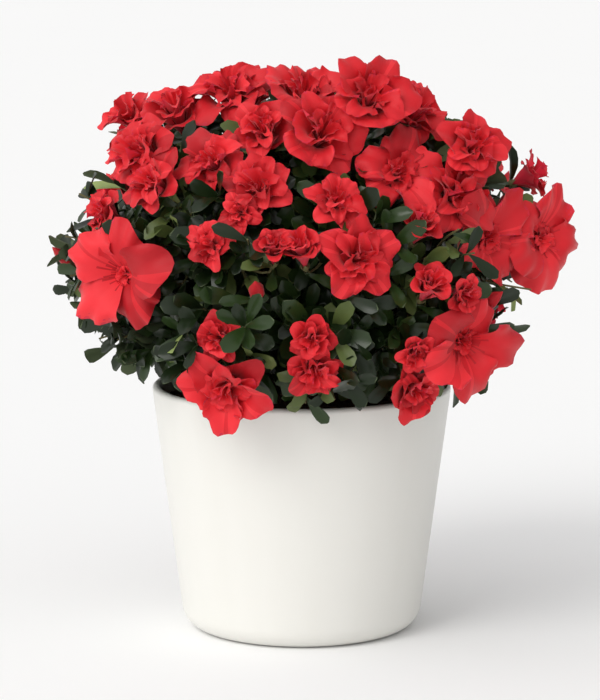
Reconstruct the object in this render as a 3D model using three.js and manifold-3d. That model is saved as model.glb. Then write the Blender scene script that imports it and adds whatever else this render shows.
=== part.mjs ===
// A florist's azalea shrub in a round glazed pot.
//
// Millimetres, +Z up. The origin is the centre of the pot's flat underside, and -Y is the front.
// A short trunk stands on the soil. Boughs leave it in tiers, and each bough carries one mass of
// twigs, leaves, buds and double blooms that grows by a seeded rule inside its own share of the
// crown. A bearing is counted from the front towards the right, and an elevation from the level.
import * as THREE from "three";
import { mergeVertices } from "three/addons/utils/BufferGeometryUtils.js";
import Module from "manifold-3d";

const wasm = await Module();
wasm.setup();
const { Manifold, Mesh } = wasm;

// ---------------------------------------------------------------- driving dimensions

const GAP = 0.3; // between pieces that touch on the real plant
const SEAM = 0.05; // corners nearer than this are merged where pieces fuse
const MARGIN = 1.2; // what grows in a mass stays this far inside its space

const POT = {
  rimRadius: 90,
  height: 148,
  footRadius: 70.6, // where the wall's line would meet the ground
  footRound: 14,
  wall: 5.5,
  floor: 8,
  rimRound: 2.6,
  sides: 40,
};

// The soil rises to the trunk over a shoulder. Both radii are shares of the trunk's flare.
const SOIL = { depthBelowRim: 9, crownRise: 3, shoulder: 2.4, shoulderRise: 0.7, top: 1.3, sides: 32 };

const TRUNK = {
  radius: 7,
  topRadius: 3.4,
  flareRadius: 13,
  flareHeight: 16,
  height: 78,
  lean: [5, -3],
  sides: 9,
  steps: 7,
};

const CROWN = {
  centreHeight: 212,
  halfWidth: 150,
  halfDepth: 138,
  rise: 126,
  drop: 86,
  squareness: 2.3,
};

// Each tier's masses: bearing and elevation of the axis, reach, blooms, the angle by which they lean
// off the axis, the turn of the first of them about it, buds, and the blooms' size.
const TIERS = {
  top: [[150, 84, 1.0, 3, 12, 0, 0, 1.0]],
  upper: [
    [-54, 38, 1.06, 2, 9, 100, 0, 1.05],
    [-24, 55, 1.03, 2, 9, -50, 0, 1.0],
    [3, 57, 1.04, 2, 11, 90, 0, 1.0],
    [46, 55, 1.12, 2, 8, 90, 0, 1.05],
    [108, 46, 1.0, 3, 12, 30, 0, 1.0],
    [-176, 50, 1.0, 3, 13, 90, 0, 1.0],
    [-100, 43, 1.06, 3, 12, 0, 0, 1.0],
  ],
  middle: [
    [-54, 15, 1.05, 2, 8, -60, 0, 1.1],
    [-19, 32, 1.0, 3, 9, 30, 0, 0.95],
    [-21, 12, 1.04, 1, 0, 0, 2, 0.9],
    [11, 18, 1.04, 2, 8, 107, 1, 1.0],
    [34, 31, 1.0, 2, 8, -30, 1, 1.0],
    [46, 11, 1.03, 2, 9, 45, 1, 1.0],
    [71, 32, 1.1, 2, 10, -44, 0, 1.0],
    [88, 13, 1.1, 1, 0, 0, 1, 1.0],
    [122, 16, 1.04, 2, 11, 0, 1, 1.0],
    [157, 18, 1.0, 3, 11, 20, 0, 1.0],
    [-166, 14, 1.0, 2, 11, 40, 1, 1.0],
    [-130, 17, 1.02, 3, 11, 10, 0, 1.0],
    [-90, 9, 1.04, 1, 0, 0, 1, 0.9],
  ],
  low: [
    [-56, -10, 0.94, 0, 0, 0, 1, 1.0],
    [-21, -16, 1.14, 2, 9, -100, 0, 1.15],
    [4, -13, 1.08, 1, 0, 0, 1, 1.0],
    [37, -10, 1.1, 3, 9, 35, 1, 1.0],
    [116, -13, 1.0, 1, 0, 0, 1, 1.0],
    [168, -15, 1.0, 2, 10, 0, 0, 1.0],
    [-140, -13, 1.0, 1, 0, 0, 1, 1.0],
  ],
};

const BOUGH = {
  baseRadius: { upper: 2.7, middle: 3.0, low: 2.2 },
  tipRadius: 1.5,
  // Shares of the trunk's height at which a tier's boughs leave it, the steepest bough highest.
  leaves: { upper: [0.5, 0.84], middle: [0.12, 0.5] },
  // Where a low bough leaves the middle bough above it, and how much farther out each second one does.
  forkAt: 0.42,
  forkStep: 0.16,
  // How far a bough's middle is off the straight line, as a share of its length.
  arch: { upper: 0.1, middle: 0.1, low: -0.04 },
  reach: 0.5, // share of the crown's reach at its tip
  sides: 5,
  steps: 3,
};

const STEM = { reach: 0.68, radius: 1.6, tipRadius: 1.2, firstFork: 0.45, elbow: 0.45 };
const TWIG = { radius: 1.1, tipRadius: 0.9, sides: 3, collar: 2 };
// Shoots end on shells at these shares of the crown's reach. Leafy ones stand round the blooms, and
// lean less where the space is narrow.
const SHOOT = {
  bloomShell: 0.79,
  leafyShells: [0.85, 0.7],
  leafyCount: 6,
  leans: [25, 19, 14],
  turnChange: 0.25,
  room: 4,
  apart: 11,
  swing: 0.2,
};
// The middles of a mass's space lie on this shell, and each piece stays this far from pot and limbs.
const HEART_SHELL = 0.85;
const ROOM = { pot: 3, limb: 1 };

// A double bloom's rings: heights are shares of its depth, and radii shares of its own.
const BLOOM = {
  radius: 27,
  depth: 24,
  smallest: 0.42,
  sizeChange: 0.08,
  petals: 5,
  notch: 0.84,
  neck: 2.6,
  outer: { radius: 1, height: 0.84, wave: 0.07 },
  valley: { radius: 0.42, height: 0.55 },
  inner: { radius: 0.58, height: 1, wave: 0.05 },
  heart: 0.72,
};
const BUD = { length: 22, radius: 5.2, sides: 5, fattest: 0.4, shoulder: 0.75, shoulderRadius: 0.7 };
const LEAF = { length: 36, width: 15, sizeChange: 0.15, widest: 0.55, droop: 0.1, smallest: 0.6 };
// A whorl is a star of leaves joined at their roots, thickest at its middle.
const WHORL = {
  underBloom: 3,
  leafy: 5,
  rootRadius: 4.6,
  thickness: 2.4,
  rise: 22,
  leafyRise: 38,
  riseChange: 12,
  turnChange: 0.1,
};

const COLOURS = {
  pot: { color: 0xf2f0e8, roughness: 0.32 },
  soil: { color: 0x2e2018, roughness: 1 },
  bark: { color: 0x6a4a34, roughness: 0.9 },
  flowering: { color: 0xc8202c, roughness: 0.6 },
  leafy: { color: 0x24401f, roughness: 0.5 },
};

// ---------------------------------------------------------------- directions and chance

const degrees = THREE.MathUtils.degToRad;
const CENTRE = new THREE.Vector3(0, 0, CROWN.centreHeight);
const UP = new THREE.Vector3(0, 0, 1);

// A repeatable number from 0 to 1 for each mass, item and use.
function chance(mass, item, use) {
  let h = Math.imul(mass + 1, 374761393) ^ Math.imul(item + 1, 668265263);
  h ^= Math.imul(use + 1, 2246822519);
  h = Math.imul(h ^ (h >>> 15), 2246822519);
  h = Math.imul(h ^ (h >>> 13), 3266489917);
  return ((h ^ (h >>> 16)) >>> 0) / 2 ** 32;
}

const spread = (mass, item, use) => 2 * chance(mass, item, use) - 1;

function heading(bearing, elevation) {
  const b = degrees(bearing);
  const e = degrees(elevation);
  return new THREE.Vector3(Math.sin(b) * Math.cos(e), -Math.cos(b) * Math.cos(e), Math.sin(e));
}

// How far the crown reaches from its centre along a direction: a rounded box with soft corners.
function crownReach(direction) {
  const height = direction.z > 0 ? CROWN.rise : CROWN.drop;
  const p = CROWN.squareness;
  const sum =
    Math.abs(direction.x / CROWN.halfWidth) ** p +
    Math.abs(direction.y / CROWN.halfDepth) ** p +
    Math.abs(direction.z / height) ** p;
  return sum ** (-1 / p);
}

// Two directions square to an axis, the first of them level.
function acrossOf(axis) {
  const level = new THREE.Vector3().crossVectors(UP, axis);
  if (level.lengthSq() < 1e-6) level.set(1, 0, 0);
  level.normalize();
  return [level, new THREE.Vector3().crossVectors(axis, level).normalize()];
}

// The axis leaned by an angle towards a turn about it.
function leaned(axis, angle, turn) {
  const [u, v] = acrossOf(axis);
  return axis
    .clone()
    .multiplyScalar(Math.cos(angle))
    .addScaledVector(u, Math.sin(angle) * Math.cos(turn))
    .addScaledVector(v, Math.sin(angle) * Math.sin(turn))
    .normalize();
}

// ---------------------------------------------------------------- solids

function solidOf(geometry) {
  const bare = geometry.clone();
  for (const name of Object.keys(bare.attributes)) if (name !== "position") bare.deleteAttribute(name);
  const merged = mergeVertices(bare, 1e-4);
  return new Manifold(
    new Mesh({
      numProp: 3,
      vertProperties: merged.attributes.position.array,
      triVerts: new Uint32Array(merged.index.array),
    }),
  );
}

// The largest body of a solid, without the scraps that a cut leaves or that only graze the rest.
function largest(solid) {
  return solid.decompose().sort((a, b) => b.volume() - a.volume())[0];
}

function geometryOf(solid) {
  const mesh = solid.getMesh();
  const geometry = new THREE.BufferGeometry();
  geometry.setAttribute("position", new THREE.BufferAttribute(mesh.vertProperties, 3));
  geometry.setIndex(new THREE.BufferAttribute(mesh.triVerts, 1));
  geometry.computeVertexNormals();
  return geometry;
}

// Moves every vertex of a geometry by a function that changes the vector it is given.
function reshape(geometry, change) {
  const position = geometry.attributes.position;
  const point = new THREE.Vector3();
  for (let i = 0; i < position.count; i++) {
    change(point.fromBufferAttribute(position, i));
    position.setXYZ(i, point.x, point.y, point.z);
  }
  return geometry;
}

// A closed limb along a curve. radiusAt gives its radius at each share of its length.
function limb(curve, radiusAt, sides, steps) {
  const frames = curve.computeFrenetFrames(steps, false);
  return reshape(new THREE.CylinderGeometry(1, 1, steps, sides, steps), (p) => {
    const step = Math.round(p.y + steps / 2);
    const share = step / steps;
    const { x, z } = p;
    p.copy(curve.getPointAt(share))
      .addScaledVector(frames.normals[step], z * radiusAt(share))
      .addScaledVector(frames.binormals[step], x * radiusAt(share));
  });
}

const taper = (from, to) => (share) => from + (to - from) * share;

// Carries a geometry made along +Z from the origin to a place and direction, with +X turned about it.
function placed(geometry, origin, axis, side) {
  const x = side.clone().addScaledVector(axis, -side.dot(axis)).normalize();
  const y = new THREE.Vector3().crossVectors(axis, x);
  return geometry.applyMatrix4(new THREE.Matrix4().makeBasis(x, y, axis).setPosition(origin));
}

// ---------------------------------------------------------------- skins turned round a shoot's axis

// A ring is a list of points { angle, radius, z } in order of angle round +Z, or round an axis beside it.
const evenRing = (count, radius, z, turn = 0, beside = { x: 0, y: 0 }) =>
  Array.from({ length: count }, (_, i) => ({ angle: turn + (2 * Math.PI * i) / count, radius, z, beside }));

const inTurnOrder = (ring) =>
  ring
    .map((p) => ({ ...p, angle: THREE.MathUtils.euclideanModulo(p.angle, 2 * Math.PI) }))
    .sort((a, b) => a.angle - b.angle);

// One closed skin through rings of any counts, from a flat foot to a last ring of a single point.
function skin(unordered) {
  const rings = unordered.map(inTurnOrder);
  const faces = [];
  const starts = rings.map((_, r) => rings.slice(0, r).reduce((sum, ring) => sum + ring.length, 0));
  for (let k = 2; k < rings[0].length; k++) faces.push(0, k, k - 1);
  for (let r = 0; r + 1 < rings.length; r++) {
    const [low, high] = [rings[r], rings[r + 1]];
    const angleOf = (ring, i) => ring[i % ring.length].angle + 2 * Math.PI * Math.floor(i / ring.length);
    let [i, j] = [0, 0];
    while (i < low.length || j < high.length) {
      const [a, b] = [starts[r] + (i % low.length), starts[r + 1] + (j % high.length)];
      const stepsLow = j >= high.length || (i < low.length && angleOf(low, i + 1) <= angleOf(high, j + 1));
      const next = stepsLow ? starts[r] + (++i % low.length) : starts[r + 1] + (++j % high.length);
      if (stepsLow || high.length > 1) faces.push(a, next, b);
    }
  }
  const corners = rings
    .flat()
    .flatMap(({ angle, radius, z, beside }) => [
      (beside?.x ?? 0) + radius * Math.cos(angle),
      (beside?.y ?? 0) + radius * Math.sin(angle),
      z,
    ]);
  const geometry = new THREE.BufferGeometry();
  geometry.setAttribute("position", new THREE.Float32BufferAttribute(corners, 3));
  geometry.setIndex(faces);
  return geometry;
}

// The outline of a whorl: for each leaf its two edges and its tip, and a shared point between two roots.
function whorlRing(leaves, z) {
  const gap = (2 * Math.PI) / leaves.length;
  return leaves.flatMap(({ angle, length, rise }) => {
    const middle = LEAF.widest * length;
    const halfAngle = Math.atan((LEAF.width * length) / LEAF.length / 2 / middle);
    const edge = Math.hypot(middle, (LEAF.width * length) / LEAF.length / 2);
    return [
      { angle: angle - halfAngle, radius: edge * Math.cos(rise), z: z + middle * Math.sin(rise) },
      { angle, radius: length * Math.cos(rise), z: z + length * (Math.sin(rise) - LEAF.droop) },
      { angle: angle + halfAngle, radius: edge * Math.cos(rise), z: z + middle * Math.sin(rise) },
      { angle: angle + gap / 2, radius: WHORL.rootRadius, z },
    ];
  });
}

// The rings of a double bloom: an outer cup of petals, a valley, and a smaller cup that stands in it.
function bloomRings(size, z, turn) {
  const radiusOf = (share) => share * BLOOM.radius * size;
  const heightOf = (share) => z + share * BLOOM.depth * size;
  const petals = ({ radius, height, wave }, notchedFrom) =>
    evenRing(2 * BLOOM.petals, 1, 0, turn).map(({ angle }, i) => {
      const notch = i % 2 === notchedFrom ? BLOOM.notch : 1;
      return { angle, radius: radiusOf(radius * notch), z: heightOf(height + wave * Math.sin(2 * angle)) };
    });
  return [
    evenRing(BLOOM.petals, BLOOM.neck, z, turn),
    petals(BLOOM.outer, 1),
    evenRing(BLOOM.petals, radiusOf(BLOOM.valley.radius), heightOf(BLOOM.valley.height), turn),
    petals(BLOOM.inner, 0),
    evenRing(1, 0, heightOf(BLOOM.heart)),
  ];
}

// The rings of a closed bud: a pointed spindle, fattest below its middle.
const budRings = (z, turn) => [
  evenRing(BUD.sides, BUD.radius, z + BUD.fattest * BUD.length, turn),
  evenRing(BUD.sides, BUD.shoulderRadius * BUD.radius, z + BUD.shoulder * BUD.length, turn),
  evenRing(1, 0, z + BUD.length),
];

// ---------------------------------------------------------------- pot, soil and trunk

const wallSlope = (POT.rimRadius - POT.footRadius) / POT.height;
const potRadiusAt = (z) => POT.footRadius + wallSlope * z;
const soilTop = POT.height - SOIL.depthBelowRim;
const innerRound = POT.footRound * 0.8;

function arcPoints(cx, cz, radius, from, to, steps) {
  return Array.from({ length: steps + 1 }, (_, i) => {
    const a = degrees(from + ((to - from) * i) / steps);
    return new THREE.Vector2(cx + radius * Math.cos(a), cz + radius * Math.sin(a));
  });
}

function makePot() {
  const lean = THREE.MathUtils.radToDeg(Math.atan(wallSlope));
  // The foot's arc is tangent to the ground and to the leaning wall.
  const footCentre = potRadiusAt(POT.footRound) - POT.footRound / Math.cos(degrees(lean));
  const rimCentre = potRadiusAt(POT.height - POT.rimRound) - POT.rimRound / Math.cos(degrees(lean));
  const innerRim = rimCentre - (POT.wall - 2 * POT.rimRound);
  const innerFoot = potRadiusAt(POT.floor + POT.footRound) - POT.wall - innerRound;
  const profile = [
    new THREE.Vector2(0, 0),
    ...arcPoints(footCentre, POT.footRound, POT.footRound, -90, -lean, 5),
    ...arcPoints(rimCentre, POT.height - POT.rimRound, POT.rimRound, -lean, 90, 3),
    ...arcPoints(innerRim, POT.height - POT.rimRound, POT.rimRound, 90, 180, 2),
    ...arcPoints(innerFoot, POT.floor + innerRound, innerRound, 0, -90, 2),
    new THREE.Vector2(0, POT.floor),
  ];
  return new THREE.LatheGeometry(profile, POT.sides).rotateX(Math.PI / 2);
}

function makeSoil() {
  const innerRadiusAt = (z) => potRadiusAt(z) - POT.wall;
  const edge = Math.cos(Math.PI / POT.sides); // the pot's inner facets cut inside its circle
  const slack = 3 * GAP;
  const foot = POT.floor + GAP;
  const profile = [
    new THREE.Vector2(0, foot),
    new THREE.Vector2((innerRadiusAt(POT.floor + POT.footRound) - innerRound) * edge - slack, foot),
    new THREE.Vector2(innerRadiusAt(POT.floor + innerRound) * edge - slack, POT.floor + innerRound + GAP),
    new THREE.Vector2(innerRadiusAt(soilTop) * edge - slack, soilTop),
    new THREE.Vector2(TRUNK.flareRadius * SOIL.shoulder, soilTop + SOIL.crownRise * SOIL.shoulderRise),
    new THREE.Vector2(TRUNK.flareRadius * SOIL.top, soilTop + SOIL.crownRise),
    new THREE.Vector2(0, soilTop + SOIL.crownRise),
  ];
  return new THREE.LatheGeometry(profile, SOIL.sides).rotateX(Math.PI / 2);
}

const trunkFoot = new THREE.Vector3(0, 0, soilTop + SOIL.crownRise + GAP);
const trunkTop = trunkFoot.clone().add(new THREE.Vector3(TRUNK.lean[0], TRUNK.lean[1], TRUNK.height));
const trunkCurve = new THREE.QuadraticBezierCurve3(
  trunkFoot,
  trunkFoot.clone().add(new THREE.Vector3(0, 0, TRUNK.height / 2)),
  trunkTop,
);

function trunkRadius(share) {
  const flare = Math.exp((-share * TRUNK.height) / (TRUNK.flareHeight / 3));
  return taper(TRUNK.radius, TRUNK.topRadius)(share) + (TRUNK.flareRadius - TRUNK.radius) * flare;
}

// ---------------------------------------------------------------- masses, their boughs and shares

// Every mass in order, with its axis, its blooms' directions, and the middles of its share of the crown.
const masses = Object.entries(TIERS).flatMap(([tier, rows]) =>
  rows.map(([bearing, elevation, reach, blooms, lean, turn, buds, size], i) => {
    const axis = heading(bearing, elevation);
    const bloomDirections = Array.from({ length: blooms }, (_, k) =>
      leaned(axis, degrees(lean), degrees(turn + (360 * k) / blooms)),
    );
    return { tier, i, bearing, reach, axis, bloomDirections, turn, buds, size };
  }),
);
masses.forEach((mass, index) => {
  mass.index = index;
  mass.at = (direction, share) =>
    CENTRE.clone().addScaledVector(direction, share * mass.reach * crownReach(direction));
  const middles = mass.bloomDirections.length ? mass.bloomDirections : [mass.axis];
  mass.hearts = middles.map((direction) => mass.at(direction, HEART_SHELL));
});

// How deep a point is in the part of the crown that is nearer to one heart than to any other mass's.
function roomAt(mass, heart, point) {
  const own = point.distanceToSquared(heart);
  let room = Infinity;
  for (const other of masses) {
    if (other === mass) continue;
    for (const rival of other.hearts) {
      room = Math.min(room, (point.distanceToSquared(rival) - own) / (2 * heart.distanceTo(rival)));
    }
  }
  return room;
}

const bestRoom = (mass, point) => Math.max(...mass.hearts.map((heart) => roomAt(mass, heart, point)));

const byTier = (tier) => masses.filter((mass) => mass.tier === tier);
const turnBetween = (a, b) => Math.abs(((((a - b) % 360) + 540) % 360) - 180);

// The curve of each mass's bough, from inside its parent to the mass. The top mass stands on the trunk.
function layBoughs() {
  for (const tier of ["upper", "middle"]) {
    const [lowest, highest] = BOUGH.leaves[tier];
    const flattestFirst = byTier(tier).sort((a, b) => a.axis.z - b.axis.z);
    flattestFirst.forEach((mass, rank) => {
      mass.from = trunkCurve.getPointAt(lowest + ((highest - lowest) * rank) / (flattestFirst.length - 1));
    });
  }
  for (const mass of byTier("low")) {
    const above = byTier("middle").sort(
      (a, b) => turnBetween(a.bearing, mass.bearing) - turnBetween(b.bearing, mass.bearing),
    )[0];
    mass.above = above;
  }
  for (const mass of [...byTier("upper"), ...byTier("middle"), ...byTier("low")]) {
    if (mass.above) mass.from = mass.above.curve.getPointAt(BOUGH.forkAt + BOUGH.forkStep * (mass.i % 2));
    const tip = mass.at(mass.axis, BOUGH.reach);
    const arch = BOUGH.arch[mass.tier] * mass.from.distanceTo(tip);
    const middle = mass.from.clone().lerp(tip, 0.5).addScaledVector(UP, arch);
    mass.curve = new THREE.QuadraticBezierCurve3(mass.from, middle, tip);
    mass.radiusAt = taper(BOUGH.baseRadius[mass.tier], BOUGH.tipRadius);
  }
}

// A bough starts inside its parent and is cut clear of the trunk and of every bough made before it.
const cleared = [];

function makeBough(mass) {
  let solid = solidOf(limb(mass.curve, mass.radiusAt, BOUGH.sides, BOUGH.steps));
  for (const other of cleared) solid = solid.subtract(other);
  cleared.push(solidOf(limb(mass.curve, (share) => mass.radiusAt(share) + GAP, BOUGH.sides, BOUGH.steps)));
  return largest(solid);
}

// ---------------------------------------------------------------- what foliage keeps clear of

const limbLines = [];

function noteLimb(curve, radiusAt, steps) {
  for (let i = 0; i < steps; i++) {
    const line = new THREE.Line3(curve.getPointAt(i / steps), curve.getPointAt((i + 1) / steps));
    limbLines.push({ line, radius: Math.max(radiusAt(i / steps), radiusAt((i + 1) / steps)) });
  }
}

function clearOfLimbs(point, margin) {
  const nearest = new THREE.Vector3();
  return limbLines.every(({ line, radius }) => {
    line.closestPointToPoint(point, true, nearest);
    return nearest.distanceTo(point) > radius + margin;
  });
}

function clearOfPot(point, margin) {
  if (point.z > POT.height + margin) return true;
  const distance = Math.hypot(point.x, point.y);
  const outside = distance > potRadiusAt(Math.max(point.z, 0)) + margin;
  const isAboveSoil = point.z > soilTop + SOIL.crownRise + margin;
  return outside || (isAboveSoil && distance < potRadiusAt(soilTop) - POT.wall - margin);
}

// Points all over a skin: its corners, and the middles of its edges and faces.
function touchPoints(geometry) {
  const position = geometry.attributes.position;
  const corner = (i) => new THREE.Vector3().fromBufferAttribute(position, geometry.index.getX(i));
  const points = [];
  for (let i = 0; i < geometry.index.count; i += 3) {
    const [a, b, c] = [corner(i), corner(i + 1), corner(i + 2)];
    const middles = [a.clone().lerp(b, 0.5), b.clone().lerp(c, 0.5), c.clone().lerp(a, 0.5)];
    points.push(a, ...middles, a.clone().add(b).add(c).divideScalar(3));
  }
  return points;
}

// A piece fits a mass if it lies all round one of its hearts, and clear of the pot, soil and limbs.
function fits(mass, geometry, mayTouchLimb = false) {
  const points = touchPoints(geometry);
  const isFree = (point) => clearOfPot(point, ROOM.pot) && (mayTouchLimb || clearOfLimbs(point, ROOM.limb));
  return (
    mass.hearts.some((heart) => points.every((point) => roomAt(mass, heart, point) > MARGIN)) &&
    points.every(isFree)
  );
}

// ---------------------------------------------------------------- one mass

// Where each shoot of a mass points, and what it ends in: blooms, and leafy shoots and buds round them.
function shootsOf(mass) {
  const shell = SHOOT.bloomShell;
  const shoots = mass.bloomDirections.map((direction) => ({ kind: "bloom", direction, shell }));
  const rest = mass.buds + SHOOT.leafyCount;
  const first = degrees(mass.turn) + (shoots.length ? Math.PI / shoots.length : 0);
  for (let k = 0; k < rest; k++) {
    const turn = first + (2 * Math.PI * (k + SHOOT.turnChange * spread(mass.index, k, 0))) / rest;
    const shell = SHOOT.leafyShells[k % SHOOT.leafyShells.length];
    const direction = SHOOT.leans
      .map((lean) => leaned(mass.axis, degrees(lean), turn))
      .find((candidate) => {
        const end = mass.at(candidate, shell);
        const gaps = mass.bloomDirections.map((bloom) => bloom.angleTo(candidate));
        const isApart = gaps.every((gap) => gap > degrees(SHOOT.apart));
        return isApart && bestRoom(mass, end) > SHOOT.room && clearOfPot(end, 2 * SHOOT.room);
      });
    if (direction) shoots.push({ kind: k < mass.buds ? "bud" : "leafy", direction, shell });
  }
  return shoots.map((shoot, k) => ({ ...shoot, k }));
}

// The leaves of a shoot's whorl that stay in the mass's space. Each is tried at full size, then smaller.
function whorlLeaves(mass, shoot, place) {
  const isBloom = shoot.kind === "bloom";
  const count = isBloom ? WHORL.underBloom : WHORL.leafy;
  const usualRise = isBloom ? WHORL.rise : WHORL.leafyRise;
  const turn = 2 * Math.PI * chance(mass.index, shoot.k, 1);
  return Array.from({ length: count }, (_, n) => {
    const item = 20 * (shoot.k + 1) + n;
    const angle = turn + (2 * Math.PI * (n + WHORL.turnChange * spread(mass.index, item, 2))) / count;
    const rise = degrees(usualRise + WHORL.riseChange * spread(mass.index, item, 3));
    const whole = LEAF.length * (1 + LEAF.sizeChange * spread(mass.index, item, 4));
    const sizes = [1, 0.8, LEAF.smallest].map((share) => share * whole);
    const length = sizes.find((trial) => {
      const outline = whorlRing([{ angle, length: trial, rise }], 0);
      const root = evenRing(TWIG.sides, TWIG.tipRadius, -TWIG.collar);
      const blade = [root, outline, evenRing(1, 0, WHORL.thickness)];
      return fits(mass, place(skin(blade)));
    });
    return { angle, length: length ?? WHORL.rootRadius * 1.6, rise };
  }).sort((a, b) => a.angle - b.angle);
}

// One shoot as one skin: a three-sided twig, a whorl of leaves, and a bloom, a bud or a leafy tip. It is
// drawn about the axis of its head, with the whorl at zero and the twig's foot down and to one side.
function makeShoot(mass, shoot, fork) {
  const base = mass.at(shoot.direction, shoot.shell);
  const axis = shoot.direction.clone().lerp(base.clone().sub(fork).normalize(), SHOOT.swing).normalize();
  const [across, up] = acrossOf(axis);
  const place = (geometry) => placed(geometry, base, axis, across);
  const foot = fork.clone().sub(base);
  const beside = { x: foot.dot(across), y: foot.dot(up) };
  const twig = [
    evenRing(TWIG.sides, TWIG.radius, foot.dot(axis), 0, beside),
    evenRing(TWIG.sides, TWIG.tipRadius, -TWIG.collar),
  ];
  if (!fits(mass, place(skin([...twig, evenRing(1, 0, 0)])), true)) return null;

  const stalk = [...twig, whorlRing(whorlLeaves(mass, shoot, place), 0)];
  const top = WHORL.thickness;
  const leafy = place(skin([...stalk, evenRing(1, 0, top)]));
  if (shoot.kind === "leafy") return leafy;

  const turn = 2 * Math.PI * chance(mass.index, shoot.k, 5);
  if (shoot.kind === "bloom") {
    // A bloom opens as far as its room lets it, and stays a bud where that is too little.
    const wanted = mass.size * (1 + BLOOM.sizeChange * spread(mass.index, shoot.k, 6));
    const sizes = Array.from({ length: 12 }, (_, step) => wanted * (1 - 0.06 * step));
    const size = sizes.find(
      (trial) => trial >= BLOOM.smallest && fits(mass, place(skin(bloomRings(trial, top, turn)))),
    );
    if (size) return place(skin([...stalk, ...bloomRings(size, top, turn)]));
  }
  const neck = evenRing(BUD.sides, 2 * TWIG.tipRadius, top, turn);
  return fits(mass, place(skin(budRings(top, turn))))
    ? place(skin([...stalk, neck, ...budRings(top, turn)]))
    : leafy;
}

function makeFoliage(mass) {
  const carrier = mass.curve ?? trunkCurve;
  const stemFoot = carrier.getPointAt(1).addScaledVector(carrier.getTangentAt(1), GAP);
  const stemTip = mass.at(mass.axis, STEM.reach);
  const elbowReach = STEM.elbow * stemFoot.distanceTo(stemTip);
  const elbow = stemFoot.clone().addScaledVector(carrier.getTangentAt(1), elbowReach);
  const stem = new THREE.QuadraticBezierCurve3(stemFoot, elbow, stemTip);
  const pieces = [limb(stem, taper(STEM.radius, STEM.tipRadius), TWIG.sides, 2)];
  const shoots = shootsOf(mass);
  shoots.forEach((shoot, order) => {
    const share = 1 - ((1 - STEM.firstFork) * (order + 0.3)) / shoots.length;
    const skinned = makeShoot(mass, shoot, stem.getPointAt(share));
    if (skinned && touchPoints(skinned).every((point) => clearOfPot(point, ROOM.pot))) pieces.push(skinned);
  });
  return largest(Manifold.union(pieces.map(solidOf)).simplify(SEAM));
}

// ---------------------------------------------------------------- the whole plant

const azalea = new THREE.Group();

function add(name, geometry, finish) {
  const { color, roughness } = COLOURS[finish];
  const material = new THREE.MeshStandardMaterial({ color, roughness, metalness: 0 });
  const mesh = new THREE.Mesh(geometry, material);
  mesh.name = name;
  azalea.add(mesh);
}

layBoughs();
noteLimb(trunkCurve, trunkRadius, TRUNK.steps);
for (const mass of masses) if (mass.curve) noteLimb(mass.curve, mass.radiusAt, BOUGH.steps);

add("pot", makePot(), "pot");
add("soil", makeSoil(), "soil");
add("trunk", limb(trunkCurve, trunkRadius, TRUNK.sides, TRUNK.steps), "bark");
cleared.push(solidOf(limb(trunkCurve, (share) => trunkRadius(share) + GAP, TRUNK.sides, TRUNK.steps)));
for (const mass of masses) {
  const label = mass.tier === "top" ? "top" : `${mass.tier}_${mass.i + 1}`;
  if (mass.curve) add(`bough_${label}`, geometryOf(makeBough(mass)), "bark");
  add(`foliage_${label}`, geometryOf(makeFoliage(mass)), mass.tier === "low" ? "leafy" : "flowering");
}

export default azalea;
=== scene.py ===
"""A potted azalea in full bloom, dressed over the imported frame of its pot, limbs and foliage masses.

The plant grows here by the rule of its solids: masses stand in tiers round a short trunk, each at the end
of one bough, and each keeps to the part of the crown that is nearest to its own blooms. Every mass then
carries finer twigs, whorls of leaves, buds and ruffled double blooms. All lengths are in millimetres until
a mesh is made. A bearing is counted from the front (-Y) towards the right, an elevation from the level.
"""

from __future__ import annotations

import logging
import math
from collections.abc import Callable, Iterable
from dataclasses import dataclass, field, fields, replace
from enum import Enum, IntEnum

import bpy
import numpy as np
from mathutils import Matrix

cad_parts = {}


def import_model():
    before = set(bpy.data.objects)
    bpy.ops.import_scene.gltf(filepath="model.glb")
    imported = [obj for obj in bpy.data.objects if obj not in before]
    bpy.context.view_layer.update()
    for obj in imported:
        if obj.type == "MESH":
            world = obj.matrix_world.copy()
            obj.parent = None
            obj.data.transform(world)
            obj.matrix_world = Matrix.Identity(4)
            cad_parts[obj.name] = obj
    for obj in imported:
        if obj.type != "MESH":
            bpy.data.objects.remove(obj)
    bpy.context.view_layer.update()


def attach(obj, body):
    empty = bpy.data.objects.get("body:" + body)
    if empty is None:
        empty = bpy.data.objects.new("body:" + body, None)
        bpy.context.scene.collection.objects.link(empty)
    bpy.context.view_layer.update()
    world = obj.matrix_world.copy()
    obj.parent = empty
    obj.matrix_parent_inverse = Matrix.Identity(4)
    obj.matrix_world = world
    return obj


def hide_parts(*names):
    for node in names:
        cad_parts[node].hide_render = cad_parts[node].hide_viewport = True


log = logging.getLogger("azalea")

MM = 0.001
GOLDEN = math.radians(137.508)
SHARP_ANGLE = math.radians(70)
UP = np.array([0.0, 0.0, 1.0])
FRONT = np.array([0.0, -1.0, 0.0])
Array = np.ndarray
Colour = tuple[float, float, float]
Curve = tuple[Array, Array, Array]
CURVE_STEPS = 64
MIX = np.array([374761393, 668265263, 2246822519, 3266489917], np.uint32)


# ------------------------------------------------------------------ chance and directions


class Use(IntEnum):
    """What a number drawn by chance is for. A member's further uses are counted on from it."""

    PETAL = 20
    LEAF = 40
    BLOOM = 50
    SPRIG = 60
    TONE = 70
    CRUMB = 80


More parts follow.
